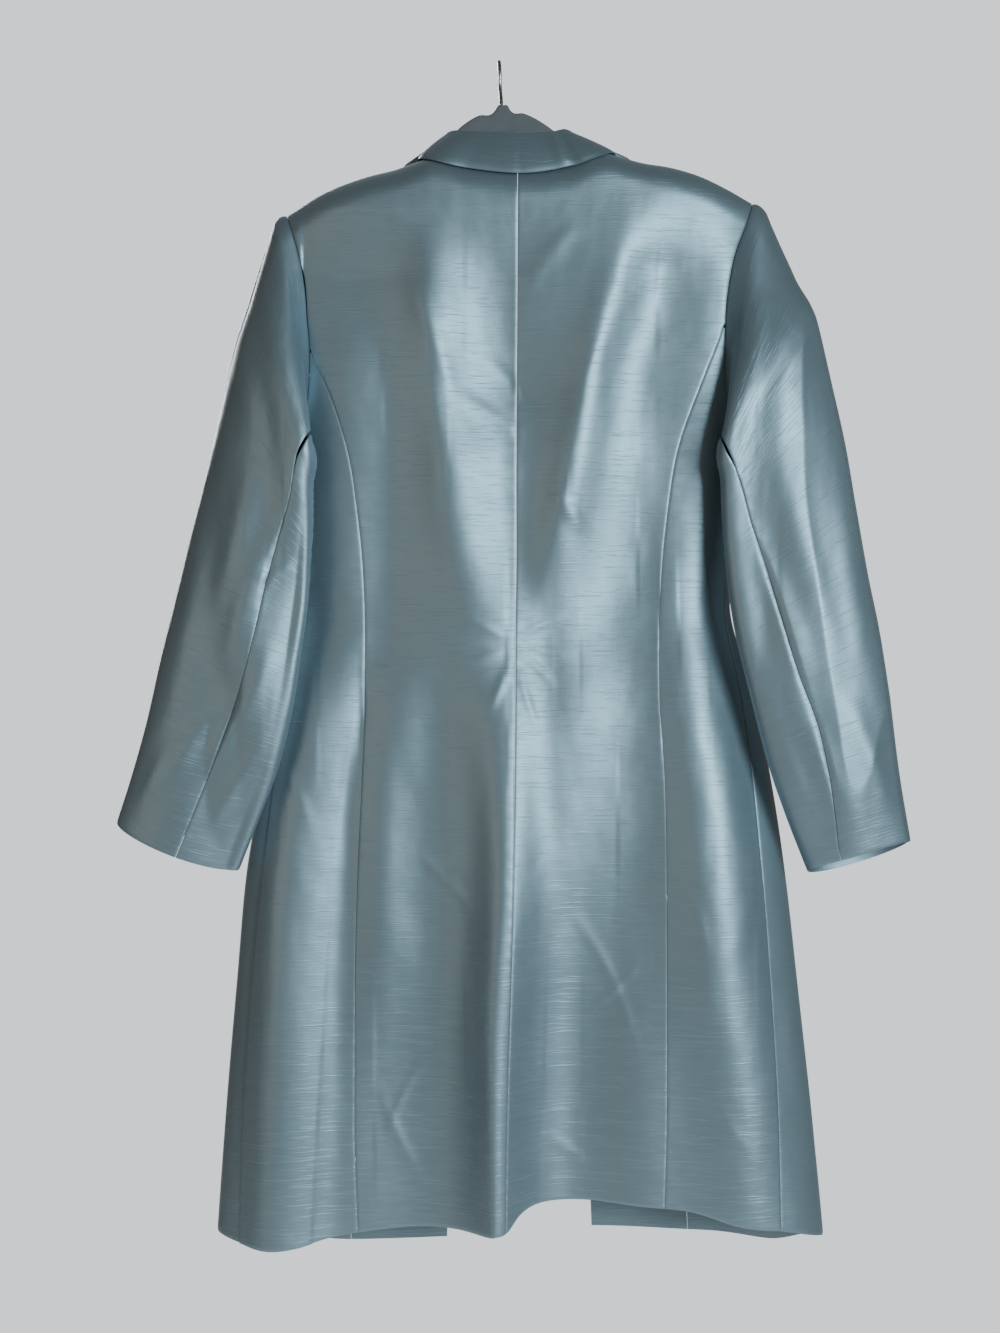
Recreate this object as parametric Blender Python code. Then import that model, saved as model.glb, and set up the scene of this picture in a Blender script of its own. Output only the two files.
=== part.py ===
"""Duster blazer of silk shantung on a slim velvet hanger, hung by the hanger's hook with its back to the viewer.

X runs to the right as the viewer sees the back, Y from the viewer through the coat, Z up. The origin is where the
hook rests on what carries it. Sizes in the tables are millimetres. Every cloth piece is a thin wall: its outer skin
comes from a function of height and girth, and its inner skin from the same points moved in along the surface's normal.
"""

import math
from collections import namedtuple

import bmesh
import bpy
import numpy as np

MM = 0.001

# Cloth
CLOTH_WALL = 1.4  # silk with its interfacing and lining
COLLAR_WALL = 1.6
SEAM_GAP = 0.3
ARMHOLE_GAP = 0.5
UNDERARM_EASE = 1.2  # degrees of girth that the side back panel keeps clear of the sleeve under the arm
ARMHOLE_RISE = 5.0  # how far the sleeve stands out beside its seam
UNDERARM_FOLD = 150  # the turn at which the sleeve folds over its seam towards the body
SLEEVE_GAP = 0.5  # between the upper and the under sleeve
FLATNESS = 3.2  # exponent of the body's rings: 2 is an ellipse, more is flatter

# Heights of the coat's landmarks
UNDERARM = -349.0
WAIST = -484.0
HEM_LEVEL = -1040.0
HEM_SWAY_FROM = -760.0  # the hem's rise and fall fades out above this height
BREAK = -470.0  # where the lapel starts to turn back

SHOULDER_ROUND = 30.0  # how far below the shoulder line the cloth is still rounding over
NECK_HALF_WIDTH = 76.0
NECK_DEPTH = 22.0  # from the shoulder line's plane to the back neckline

Width = namedtuple("Width", "height princess side_seam edge front_princess front_edge")
LEFT_WIDTHS = (
    Width(-130, -198, -200, -212, -190, -62),
    Width(-205, -182, -198, -206, -176, -59),
    Width(-264, -170, -192, -200, -168, -55),
    Width(-300, -154, -190, -196, -146, -52),
    Width(-349, -139, -187, -191, -122, -44),
    Width(-410, -130, -180, -185, -104, -34),
    Width(-484, -124, -177, -182, -98, -27),
    Width(-560, -123, -190, -198, -102, -29),
    Width(-640, -125, -203, -215, -110, -33),
    Width(-720, -128, -211, -229, -118, -37),
    Width(-820, -130, -221, -238, -126, -42),
    Width(-940, -130, -229, -248, -133, -47),
    Width(-1040, -127, -232, -255, -139, -51),
)
RIGHT_WIDTHS = (
    Width(-120, 226, 228, 240, 218, 90),
    Width(-205, 202, 224, 234, 198, 87),
    Width(-242, 195, 220, 229, 192, 84),
    Width(-285, 179, 215, 222, 172, 81),
    Width(-349, 157, 208, 213, 146, 73),
    Width(-410, 147, 202, 208, 128, 60),
    Width(-484, 140, 198, 204, 122, 52),
    Width(-560, 138, 210, 223, 128, 54),
    Width(-640, 142, 221, 240, 138, 59),
    Width(-720, 143, 228, 252, 147, 64),
    Width(-820, 143, 235, 263, 156, 71),
    Width(-940, 143, 241, 276, 163, 77),
    Width(-1040, 141, 243, 286, 169, 81),
)
CENTRE_SEAM = ((-100, 13.0), (-484, 11.0), (-1040, 8.0))

Depth = namedtuple("Depth", "height middle back front")
DEPTHS = (
    Depth(-120, 0, 44, 38),
    Depth(-205, 0, 46, 40),
    Depth(-349, 0, 47, 40),
    Depth(-484, 0, 42, 36),
    Depth(-600, -3, 48, 39),
    Depth(-720, -7, 52, 43),
    Depth(-880, -11, 52, 46),
    Depth(-1040, -14, 50, 48),
)

# The line where front and back meet on top of the shoulders, and the neckline between them: (across, height)
SHOULDER_LINE = (
    (-212, -145),
    (-194, -137),
    (-164, -119),
    (-122, -103),
    (-94, -96),
    (-80, -91),
    (-63, -86),
    (-30, -96),
    (13, -101),
    (56, -95),
    (89, -82),
    (107, -86),
    (122, -90),
    (152, -95),
    (176, -102),
    (200, -113),
    (224, -126),
    (242, -135),
)
BACK_HEM = (
    (-260, -1043),
    (-232, -1049),
    (-205, -1052),
    (-150, -1043),
    (-100, -1036),
    (-60, -1034),
    (-30, -1035),
    (-6, -1034),
    (10, -1031),
    (24, -1019),
    (56, -1012),
    (120, -1015),
    (165, -1019),
    (205, -1030),
    (243, -1036),
    (286, -1048),
)
FRONT_HEM = ((-260, -1043), (-200, -1060), (-139, -1066), (-51, -1064), (81, -1054), (169, -1057), (240, -1062), (286, -1048))

# The back armhole seam from the shoulder point to the underarm: (height, across)
LEFT_ARMHOLE = ((-137, -194), (-154, -189), (-184, -181), (-212, -176), (-237, -174), (-264, -171.5), (-300, -173), (-326, -178), (-341, -184), (-349, -187))
RIGHT_ARMHOLE = ((-126, 224), (-153, 216), (-183, 205.5), (-208, 200), (-242, 197), (-280, 197), (-315, 200), (-338, 205), (-349, 208))

# The main folds of the skirt and of the back: rows of (height, across, how far it stands out) down each ridge,
# and how wide it is to its left and right
Fold = namedtuple("Fold", "name left_width right_width path")
BACK_FOLDS = (
    Fold("centre ridge", 30, 42, ((-540, 2, 0), (-620, 5, 8), (-720, 3, 15), (-880, -8, 22), (-1050, -6, 27))),
    Fold("left ridge", 34, 52, ((-500, -172, 0), (-600, -180, 5), (-740, -192, 9), (-1050, -200, 14))),
    Fold("right ridge", 56, 30, ((-500, 182, 0), (-600, 186, 5), (-740, 204, 9), (-880, 222, 11), (-1050, 262, 12))),
    Fold("right hollow", 42, 60, ((-640, 96, 0), (-800, 74, -6), (-1050, 56, -13))),
    Fold("slanting fold", 22, 30, ((-120, 126, 0), (-190, 106, 6), (-290, 76, 8), (-400, 54, 7), (-520, 24, 0))),
    Fold("left blade fold", 20, 34, ((-150, -66, 0), (-220, -62, 5), (-330, -54, 6), (-440, -40, 4), (-520, -20, 0))),
)
FRONT_FOLDS = (
    Fold("left front fold", 34, 34, ((-640, -150, 0), (-860, -170, 7), (-1060, -190, 10))),
    Fold("right front fold", 34, 34, ((-640, 176, 0), (-860, 196, 7), (-1060, 214, 10))),
)

# Sleeve rings from just below the armhole to the cuff. Outer and inner are the ends of a ring as the viewer sees it;
# depth is half its thickness. On the side away from the viewer, bulge adds depth, out moves it off the body, and tip
# lowers its edge; dip lowers the edge of the viewer's side
Ring = namedtuple("Ring", "outer_x outer_y outer_z inner_x inner_y inner_z depth bulge out tip dip back_seam front_seam")
LEFT_SLEEVE = (
    Ring(-209, 0, -136, -162, -40, -320, 34, 6, 8, 0, 0, 176, 240),
    Ring(-215, 0, -171, -157, -52, -334, 36, 12, 14, 0, 0, 165, 240),
    Ring(-227, -6, -220, -160, -57, -360, 36, 18, 15, 0, 0, 140, 240),
    Ring(-239, -10, -260, -165, -57, -386, 33, 22, 13, 0, 0, 129, 234),
    Ring(-252, -14, -318, -165, -57, -417, 30, 24, 9, 0, 0, 123, 222),
    Ring(-265, -18, -375, -167, -58, -450, 27, 22, 5, 0, 0, 115, 222),
    Ring(-279, -22, -432, -170, -58, -490, 26, 18, 2, 0, 0, 109, 222),
    Ring(-291, -26, -485, -176, -58, -532, 26, 14, 0, 0, 0, 107, 223),
    Ring(-303, -29, -535, -183, -57, -577, 25, 10, 0, 0, 0, 103, 224),
    Ring(-315, -31, -590, -196, -54, -630, 24, 7, 0, 0, 2, 96, 226),
    Ring(-328, -33, -638, -213, -48, -674, 22, 5, 0, -4, 5, 93, 228),
    Ring(-341, -34, -679, -232, -42, -721, 20, 3, 0, -8, 9, 90, 230),
)
RIGHT_SLEEVE = (
    Ring(240, 0, -127, 186, -40, -316, 34, 6, 8, 0, 0, 176, 240),
    Ring(251, 0, -167, 181, -52, -330, 36, 12, 14, 0, 0, 174, 240),
    Ring(263, -5, -200, 184, -57, -355, 36, 18, 15, 0, 0, 154, 240),
    Ring(274, -8, -229, 189, -57, -379, 33, 22, 13, 0, 0, 143, 234),
    Ring(287, -12, -285, 190, -57, -404, 30, 24, 9, 0, 0, 132, 222),
    Ring(300, -16, -344, 192, -58, -437, 27, 22, 5, 0, 0, 125, 222),
    Ring(309, -20, -400, 196, -58, -477, 26, 18, 2, 0, 0, 116, 222),
    Ring(319, -23, -460, 204, -58, -522, 26, 14, 0, 0, 0, 111, 223),
    Ring(329, -27, -512, 215, -57, -566, 25, 10, 0, 0, 0, 108, 224),
    Ring(339, -30, -580, 230, -52, -622, 24, 7, 0, 0, -1, 101, 226),
    Ring(348, -33, -642, 247, -46, -670, 22, 5, 0, 4, -3, 104, 228),
    Ring(358, -34, -697, 268, -40, -722, 20, 3, 0, 8, -5, 115, 230),
)

# Collar rows from its left front end round the back neck to its right front end: where the stand meets the neckline,
# the top of the roll, and the fall's edge. The edge lies on the coat, so only the sign of its y counts
CollarRow = namedtuple("CollarRow", "neck_x neck_y neck_z roll_x roll_y roll_z edge_x edge_y edge_z")
COLLAR = (
    CollarRow(-66, 41.5, -150, -57.5, 45, -146, -106, 40, -153),
    CollarRow(-60, 41.5, -116, -57, 45, -110, -104, 40, -131),
    CollarRow(-60.5, 30, -97, -55, 34, -84, -99, 30, -110),
    CollarRow(-61, 12, -86, -53, 16, -69, -91, 13, -97),
    CollarRow(-62, 0, -85, -51, 3, -64.5, -81.5, 0, -87.8),
    CollarRow(-49, -6.3, -88.4, -44, -10, -63, -66, -20, -95),
    CollarRow(-27, -14.5, -96, -20, -18, -65.5, -38, -34, -102.5),
    CollarRow(13, -20.8, -100.2, 13, -21, -67.5, 14, -40, -108.5),
    CollarRow(53, -14.5, -95, 42, -18, -66, 58, -34, -102.5),
    CollarRow(75, -6.0, -84.9, 56, -10, -61.8, 86, -20, -92.5),
    CollarRow(88, 0, -81, 63, 3, -62.5, 107, 0, -82.6),
    CollarRow(87, 12, -82, 67, 16, -66, 117, 12, -92),
    CollarRow(86.5, 30, -93, 74, 34, -81, 126, 30, -105),
    CollarRow(86, 41.5, -112, 83, 45, -107, 131, 40, -128),
    CollarRow(93, 41.5, -146, 85, 45, -142, 134, 40, -149),
)
CollarNumbered = namedtuple("CollarNumbered", ("number", *CollarRow._fields))
COLLAR_ROWS = 43
COLLAR_OFF = 2.3  # from the panel's skin to the middle of the collar's wall
ROLL_RADIUS = 2.4

# Lapel rows from the gorge to the break: the height at the roll line, the height at the outer edge, and the width
LapelRow = namedtuple("LapelRow", "roll_z outer_z width")
LAPEL = (
    LapelRow(-155, -180, 70),
    LapelRow(-180, -199, 75),
    LapelRow(-215, -226, 72),
    LapelRow(-260, -266, 63),
    LapelRow(-310, -313, 51),
    LapelRow(-360, -361, 37),
    LapelRow(-410, -410, 21),
    LapelRow(-445, -445, 9),
    LapelRow(-468, -468, 3),
)
LAPEL_OFF = 0.7
LAPEL_OVER = 1.2  # how far the lapel's rolled edge reaches past the front's edge

# The hanger's body: its top follows the shoulder line just under the cloth, and rises to a neck above the collar
HangerRow = namedtuple("HangerRow", "x top height")
HANGER = (
    HangerRow(-177, -134, 5),
    HangerRow(-174, -129.5, 11),
    HangerRow(-164, -121.5, 16),
    HangerRow(-143, -112.6, 19),
    HangerRow(-122, -105.4, 20),
    HangerRow(-94, -98.4, 21),
    HangerRow(-80, -93.6, 21),
    HangerRow(-70, -90.6, 22),
    HangerRow(-63, -89.4, 24),
    HangerRow(-57, -85, 25),
    HangerRow(-50, -73, 25),
    HangerRow(-42, -60.5, 24),
    HangerRow(-33, -52.6, 22),
    HangerRow(-22, -46.3, 20),
    HangerRow(-8.5, -43.3, 19),
    HangerRow(-6.8, -41.2, 21),
    HangerRow(-4.5, -37.4, 24.6),
    HangerRow(0, -37, 25),
    HangerRow(4.5, -37.6, 24.4),
    HangerRow(6.6, -41.6, 20.4),
    HangerRow(8.5, -43.3, 19),
    HangerRow(18, -44.2, 19),
    HangerRow(29, -48.9, 20),
    HangerRow(40, -55.8, 22),
    HangerRow(50, -63.6, 24),
    HangerRow(60, -73.5, 25),
    HangerRow(70, -81, 24),
    HangerRow(80, -85, 22),
    HangerRow(92, -85.6, 21),
    HangerRow(107, -88.4, 21),
    HangerRow(122, -92.4, 20),
    HangerRow(152, -97.4, 19),
    HangerRow(176, -104.4, 18),
    HangerRow(194, -112.6, 15),
    HangerRow(202, -118.5, 11),
    HangerRow(205, -123, 5),
)
HANGER_THICK = 6.0
HOOK_X = -3.5  # where the hook rests, from the middle of the pin
HOOK_FOOT = (-1.4, 0, -36.4)
HOOK_RADIUS = 15.5  # of the rod's middle line
ROD = 3.2

SILK = (0.30, 0.37, 0.39)
VELVET = (0.11, 0.12, 0.14)
STEEL = (0.32, 0.32, 0.34)


class Curve:
    """A smooth curve through rows of (place, value), held past both ends. It takes and returns arrays."""

    def __init__(self, rows):
        self.at, self.value = np.array(sorted(rows), float).T
        gap = np.diff(self.at)
        step = np.diff(self.value) / gap
        self.slope = np.zeros(len(self.at))
        self.slope[0], self.slope[-1] = step[0], step[-1]
        mean = (step[:-1] * gap[1:] + step[1:] * gap[:-1]) / (gap[:-1] + gap[1:])
        self.slope[1:-1] = np.where(step[:-1] * step[1:] > 0, mean, 0.0)

    def __call__(self, at):
        at = np.clip(at, self.at[0], self.at[-1])
        i = np.clip(np.searchsorted(self.at, at, side="right") - 1, 0, len(self.at) - 2)
        span = self.at[i + 1] - self.at[i]
        t = (at - self.at[i]) / span
        ends = self.value[i] * (1 + 2 * t) * (1 - t) ** 2 + self.value[i + 1] * t * t * (3 - 2 * t)
        return ends + span * t * (1 - t) * (self.slope[i] * (1 - t) - self.slope[i + 1] * t)


def columns_of(table):
    """A curve for each named column of a table, against its first one."""
    return {name: Curve([(row[0], getattr(row, name)) for row in table]) for name in table[0]._fields[1:]}


class Relief:
    """How far one fold stands out of the plain surface."""

    def __init__(self, fold):
        self.left, self.right = fold.left_width, fold.right_width
        self.across = Curve([(height, place) for height, place, _ in fold.path])
        self.rise = Curve([(height, out) for height, _, out in fold.path])

    def __call__(self, x, z):
        aside = x - self.across(z)
        return self.rise(z) * np.exp(-((aside / np.where(aside < 0, self.left, self.right)) ** 2))


def dots(a, b):
    return np.sum(a * b, axis=-1, keepdims=True)


def unit(vectors):
    return vectors / np.sqrt(dots(vectors, vectors))


DEPTH = columns_of(DEPTHS)
CENTRE = Curve(CENTRE_SEAM)
SHOULDER = Curve(SHOULDER_LINE)
HEM = {False: Curve(BACK_HEM), True: Curve(FRONT_HEM)}
FOLDS = {False: [Relief(fold) for fold in BACK_FOLDS], True: [Relief(fold) for fold in FRONT_FOLDS]}


class Half:
    """One side of the body. Girth runs from 0 at the centre back, over 90 at the silhouette, to 180 at the front.

    A row v runs round the body. Rows 0 to 1 are between the shoulder line and the height of the yoke, where the
    princess seams leave the armholes, and each whole number above 1 is one of the heights in self.rows.
    """

    def __init__(self, name, sign, widths, armhole, yoke):
        self.name, self.sign, self.yoke = name, sign, yoke
        self.width = columns_of(widths)
        self.armhole = Curve(armhole)
        self.shoulder = armhole[0][0]
        self.rows = [yoke + (UNDERARM - yoke) * share for share in (0, 0.24, 0.48, 0.7, 0.87)]
        self.rows += [UNDERARM, -376, -408, -444, WAIST, -528, -574, -620, -668, -716]
        self.rows += [-764, -812, -860, -908, -956, -1000, HEM_LEVEL]
        self.numbers = np.arange(1, len(self.rows) + 1)

    def girth_at(self, z, x, front=False):
        """The girth at which the ring at this height reaches x."""
        half = np.abs(self.width["edge"](z) - CENTRE(z))
        girth = np.degrees(np.arcsin(np.clip(self.sign * (x - CENTRE(z)) / half, 0.0, 1.0)))
        return 180 - girth if front else girth

    def seam(self, name, z):
        return self.girth_at(z, self.width[name](z), front=name.startswith("front"))

    def back_armhole(self, z):
        return self.girth_at(z, self.armhole(z))

    def front_armhole(self, z):
        """It mirrors the back one, a little hollower, and runs round under the arm to the side seam."""
        share = np.clip((self.shoulder - z) / (self.shoulder - UNDERARM), 0.0, 1.0)
        mirrored = 180 - self.back_armhole(z) + 3.0 * np.sin(np.pi * share)
        return mirrored + (self.seam("side_seam", UNDERARM) - mirrored) * share**5

    def height(self, v, top):
        above = top - (top - self.yoke) * (1 - np.cos(np.pi / 2 * np.clip(v, 0.0, 1.0)))
        return np.where(np.asarray(v) <= 1, above, np.interp(v, self.numbers, self.rows))

    def row_at(self, z):
        share = np.clip((self.shoulder - z) / (self.shoulder - self.yoke), 0.0, 1.0)
        below = np.interp(-np.asarray(z), -np.array(self.rows), self.numbers)
        return np.where(np.asarray(z) > self.yoke, np.arccos(1 - share) * 2 / np.pi, below)

    def place(self, v, girth):
        """Points of the coat's outer skin at rows and girths."""
        v, girth = np.broadcast_arrays(np.asarray(v, float), np.asarray(girth, float))
        ring = self.height(v, self.shoulder)
        front = girth > 90
        share = np.sin(np.radians(girth))
        x = CENTRE(ring) + self.sign * np.abs(self.width["edge"](ring) - CENTRE(ring)) * share
        z = self.height(v, SHOULDER(x))
        sway = np.clip((HEM_SWAY_FROM - z) / (HEM_SWAY_FROM - HEM_LEVEL), 0.0, 1.0) ** 2
        z = z + (np.where(front, HEM[True](x), HEM[False](x)) - HEM_LEVEL) * sway
        full = np.where(front, DEPTH["front"](ring), DEPTH["back"](ring))
        full = full * np.sqrt(np.clip(1 - share**FLATNESS, 0.0, 1.0))
        stand_out = [sum(fold(x, z) for fold in FOLDS[side]) for side in (True, False)]
        full = full + np.where(front, *stand_out) * np.clip(3 * (1 - share), 0.0, 1.0)
        top = NECK_DEPTH * np.clip(1 - ((x - CENTRE(0)) / NECK_HALF_WIDTH) ** 2, 0.0, 1.0)
        below = np.where(v <= 3, np.clip(SHOULDER(x) - z, 0.0, SHOULDER_ROUND), SHOULDER_ROUND)
        out = top + (full - top) * np.sqrt(1 - (1 - below / SHOULDER_ROUND) ** 2)
        return np.stack((x, DEPTH["middle"](ring) + np.where(front, out, -out), z), axis=-1)

    def normal(self, v, girth):
        """Unit vectors out of the coat at rows and girths."""
        v, girth = np.broadcast_arrays(np.asarray(v, float), np.asarray(girth, float))
        down = self.place(np.clip(v + 0.02, 0, len(self.rows)), girth) - self.place(np.clip(v - 0.02, 0, None), girth)
        low = np.where(girth > 90, np.maximum(girth - 0.4, 90.01), girth - 0.4)
        high = np.where(girth > 90, girth + 0.4, np.minimum(girth + 0.4, 90))
        around = self.place(v, high) - self.place(v, np.maximum(low, 0))
        return unit(np.cross(down, around) * self.sign)


LEFT = Half("left", -1, LEFT_WIDTHS, LEFT_ARMHOLE, -264.0)
RIGHT = Half("right", 1, RIGHT_WIDTHS, RIGHT_ARMHOLE, -242.0)
YOKE_ROWS = (0, 0.15, 0.3, 0.45, 0.6, 0.74, 0.87)


def spread(line, start, end, count, gap=SEAM_GAP / 2):
    """Places that part a line of points into equal lengths, after a gap is taken off each end."""
    places = np.linspace(start, end, 81)
    along = np.concatenate(([0], np.cumsum(np.linalg.norm(np.diff(line(places), axis=0), axis=1))))
    return np.interp(np.linspace(gap, max(along[-1] - gap, gap + 0.3), count), along, places)


class Sleeve:
    """One sleeve. Turn runs from 0 on its outer side, over 90 at the viewer's side and 180 on its inner side, to 360."""

    def __init__(self, half, rings):
        self.half = half
        self.name = half.name
        self.ring = columns_of([Numbered(k, *ring) for k, ring in enumerate(rings)])
        self.last = len(rings) - 1

    def armhole(self, turn):
        """Rows and girths of the armhole's edge."""
        turn = np.asarray(turn, float) % 360
        z = (self.half.shoulder + UNDERARM) / 2 + (self.half.shoulder - UNDERARM) / 2 * np.cos(np.radians(turn))
        girth = np.where(turn <= 180, self.half.back_armhole(z), self.half.front_armhole(z))
        return self.half.row_at(z), girth

    def frame(self, turn):
        """The armhole's points, the body's normals there and the unit vectors away from the body's edge."""
        here = self.half.place(*self.armhole(turn))
        out = self.half.normal(*self.armhole(turn))
        along = self.half.place(*self.armhole(turn + 1.0)) - self.half.place(*self.armhole(turn - 1.0))
        return here, out, unit(np.cross(along, out) * -self.half.sign)

    def place(self, s, turn):
        """Points of the sleeve's outer skin at rings and turns."""
        s, turn = np.broadcast_arrays(np.asarray(s, float), np.asarray(turn, float))
        ring = {name: curve(s) for name, curve in self.ring.items()}
        c, d = np.cos(np.radians(turn)), np.sin(np.radians(turn))
        outer = np.stack([ring[f"outer_{axis}"] for axis in "xyz"], axis=-1)
        inner = np.stack([ring[f"inner_{axis}"] for axis in "xyz"], axis=-1)
        point = (outer + inner) / 2 + (outer - inner) / 2 * c[..., None]
        far = d < 0
        reach = ring["depth"] + np.where(far, ring["bulge"] * (1 + c) / 2, 0.0)
        point[..., 1] -= reach * np.sign(d) * np.abs(d) ** 0.85
        point[..., 0] += self.half.sign * np.where(far, ring["out"], 0.0) * np.sqrt(np.abs(d))
        point[..., 2] -= np.where(far, ring["tip"], ring["dip"]) * np.abs(d)
        here, out, away = self.frame(turn)
        lift = np.clip(s / 0.6, 0.0, 1.0)[..., None]
        fold = np.exp(-(((turn - UNDERARM_FOLD) / 34) ** 2))[..., None]
        start = here + away * (ARMHOLE_GAP + 4.5 * lift - 16 * fold * lift**2)
        start = start + out * ((ARMHOLE_RISE + 12 * fold) * lift)
        share = np.clip(s / 2.6, 0.0, 1.0)[..., None]
        share = 1 - (1 - share) ** 1.8
        return start + (point - start) * share

    def normal(self, s, turn):
        s, turn = np.broadcast_arrays(np.asarray(s, float), np.asarray(turn, float))
        down = self.place(np.minimum(s + 0.1, self.last), turn) - self.place(np.maximum(s - 0.1, 0), turn)
        around = self.place(s, turn + 4) - self.place(s, turn - 4)
        found = unit(np.cross(around, down) * self.half.sign)
        edge = np.clip(1 - s / 0.3, 0.0, 1.0)[..., None]
        return unit(found * (1 - edge) + self.half.normal(*self.armhole(turn)) * edge)


Numbered = namedtuple("Numbered", ("number", *Ring._fields))
SLEEVE_ROWS = (0, 0.22, 0.45, 0.7, 1, 1.4, 1.9, 2.5, 3.2, 4, 5, 6, 7, 8, 9, 10, 11)


def material(name, colour, roughness, metallic=0.0):
    made = bpy.data.materials.new(name)
    made.use_nodes = True
    shader = made.node_tree.nodes["Principled BSDF"]
    shader.inputs["Base Color"].default_value = (*colour, 1.0)
    shader.inputs["Roughness"].default_value = roughness
    shader.inputs["Metallic"].default_value = metallic
    return made


def to_frame(point):
    """A point of the tables, from their middle of the pin to the hook's resting point, in metres."""
    return ((point[0] - HOOK_X) * MM, point[1] * MM, point[2] * MM)


def finished(name, shape, finish, corner=40):
    """Makes an object of a bmesh whose faces are all there."""
    mesh = bpy.data.meshes.new(name)
    bmesh.ops.recalc_face_normals(shape, faces=shape.faces)
    shape.to_mesh(mesh)
    shape.free()
    mesh.shade_smooth()
    mesh.set_sharp_from_angle(angle=math.radians(corner))
    made = bpy.data.objects.new(name, mesh)
    made.data.materials.append(finish)
    COAT.objects.link(made)


def wall(name, outer, inner, finish):
    """A closed wall between two grids of points, each [row][column], with its four rims."""
    shape = bmesh.new()
    skins = [[[shape.verts.new(to_frame(point)) for point in row] for row in grid] for grid in (outer, inner)]
    rows, columns = len(outer), len(outer[0])
    for grid in skins:
        for r in range(rows - 1):
            for c in range(columns - 1):
                shape.faces.new((grid[r][c], grid[r][c + 1], grid[r + 1][c + 1], grid[r + 1][c]))
    rim = [(0, c) for c in range(columns)]
    rim += [(r, columns - 1) for r in range(1, rows)]
    rim += [(rows - 1, c) for c in range(columns - 2, -1, -1)]
    rim += [(r, 0) for r in range(rows - 2, 0, -1)]
    for (r0, c0), (r1, c1) in zip(rim, rim[1:] + rim[:1]):
        shape.faces.new((skins[0][r1][c1], skins[0][r0][c0], skins[1][r0][c0], skins[1][r1][c1]))
    finished(name, shape, finish)


def loft(name, rings, finish):
    """A closed body through rings of points, capped at both ends."""
    shape = bmesh.new()
    made = [[shape.verts.new(to_frame(point)) for point in ring] for ring in rings]
    for ring, after in zip(made, made[1:]):
        for k in range(len(ring)):
            n = (k + 1) % len(ring)
            shape.faces.new((ring[k], ring[n], after[n], after[k]))
    shape.faces.new(made[0])
    shape.faces.new(made[-1])
    finished(name, shape, finish)


def body_panel(half, name, rows, start, end, columns, finish):
    """A panel of the body between two seams, each a function of height that returns a girth."""
    outer, inner = [], []
    for v in rows:
        z = half.height(v, half.shoulder)
        girths = spread(lambda g: half.place(v, g), start(z), end(z), columns)
        outer.append(half.place(v, girths))
        girths[0], girths[-1] = start(z), end(z)
        inner.append(outer[-1] - half.normal(v, girths) * CLOTH_WALL)
    if rows[0] == 0:
        side = -1 if end(half.yoke) <= 90 else 1
        for points in (outer[0], inner[0]):
            points[:, 1] = side * np.maximum(side * points[:, 1], SEAM_GAP / 2)
    wall(name, outer, inner, finish)


def make_body(half, finish):
    def back_outer(z):
        return half.back_armhole(z) if z > half.yoke else half.seam("princess", z)

    def side_back_outer(z):
        eased = UNDERARM_EASE * np.clip((UNDERARM + 18 - z) / 18, 0.0, 1.0)
        return half.back_armhole(z) - eased if z >= UNDERARM else half.seam("side_seam", z)

    def side_front_outer(z):
        return half.front_armhole(z) if z > UNDERARM else half.seam("side_seam", z)

    def front_outer(z):
        return half.front_armhole(z) if z > half.yoke else half.seam("front_princess", z)

    side_rows = list(half.numbers)
    full_rows = [*YOKE_ROWS, *side_rows]
    body_panel(half, f"back_{half.name}", full_rows, lambda z: 0.0, back_outer, 10, finish)
    body_panel(half, f"side_back_{half.name}", side_rows, lambda z: half.seam("princess", z), side_back_outer, 6, finish)
    body_panel(half, f"side_front_{half.name}", side_rows, side_front_outer, lambda z: half.seam("front_princess", z), 8, finish)
    body_panel(half, f"front_{half.name}", full_rows, front_outer, lambda z: half.seam("front_edge", z), 8, finish)


def make_sleeve(sleeve, finish):
    for name, columns in (("upper", 12), ("under", 8)):
        outer, inner = [], []
        for s in SLEEVE_ROWS:
            back, front = float(sleeve.ring["back_seam"](s)), float(sleeve.ring["front_seam"](s))
            start, end = (front - 360, back) if name == "upper" else (back, front)
            gap = SLEEVE_GAP / 2 if s > 3 else 3.2 * SLEEVE_GAP
            turns = spread(lambda t: sleeve.place(s if s > 0.5 else 0, t), start, end, columns, gap)
            outer.append(sleeve.place(s, turns))
            turns[0], turns[-1] = start, end
            inner.append(outer[-1] - sleeve.normal(s, turns) * CLOTH_WALL)
        wall(f"{name}_sleeve_{sleeve.name}", outer, inner, finish)


def lying(half, x, z, front, off):
    """The point that lies this far off the coat's outer skin at x and z."""
    top = SHOULDER(x)
    drop = np.clip((top - z) / (top - half.yoke), 0.0, 1.0)
    v = half.row_at(z) if z <= half.yoke else np.arccos(1 - drop) * 2 / np.pi
    girth = half.girth_at(z, x, front)
    return half.place(v, girth) + half.normal(v, girth) * off


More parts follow.
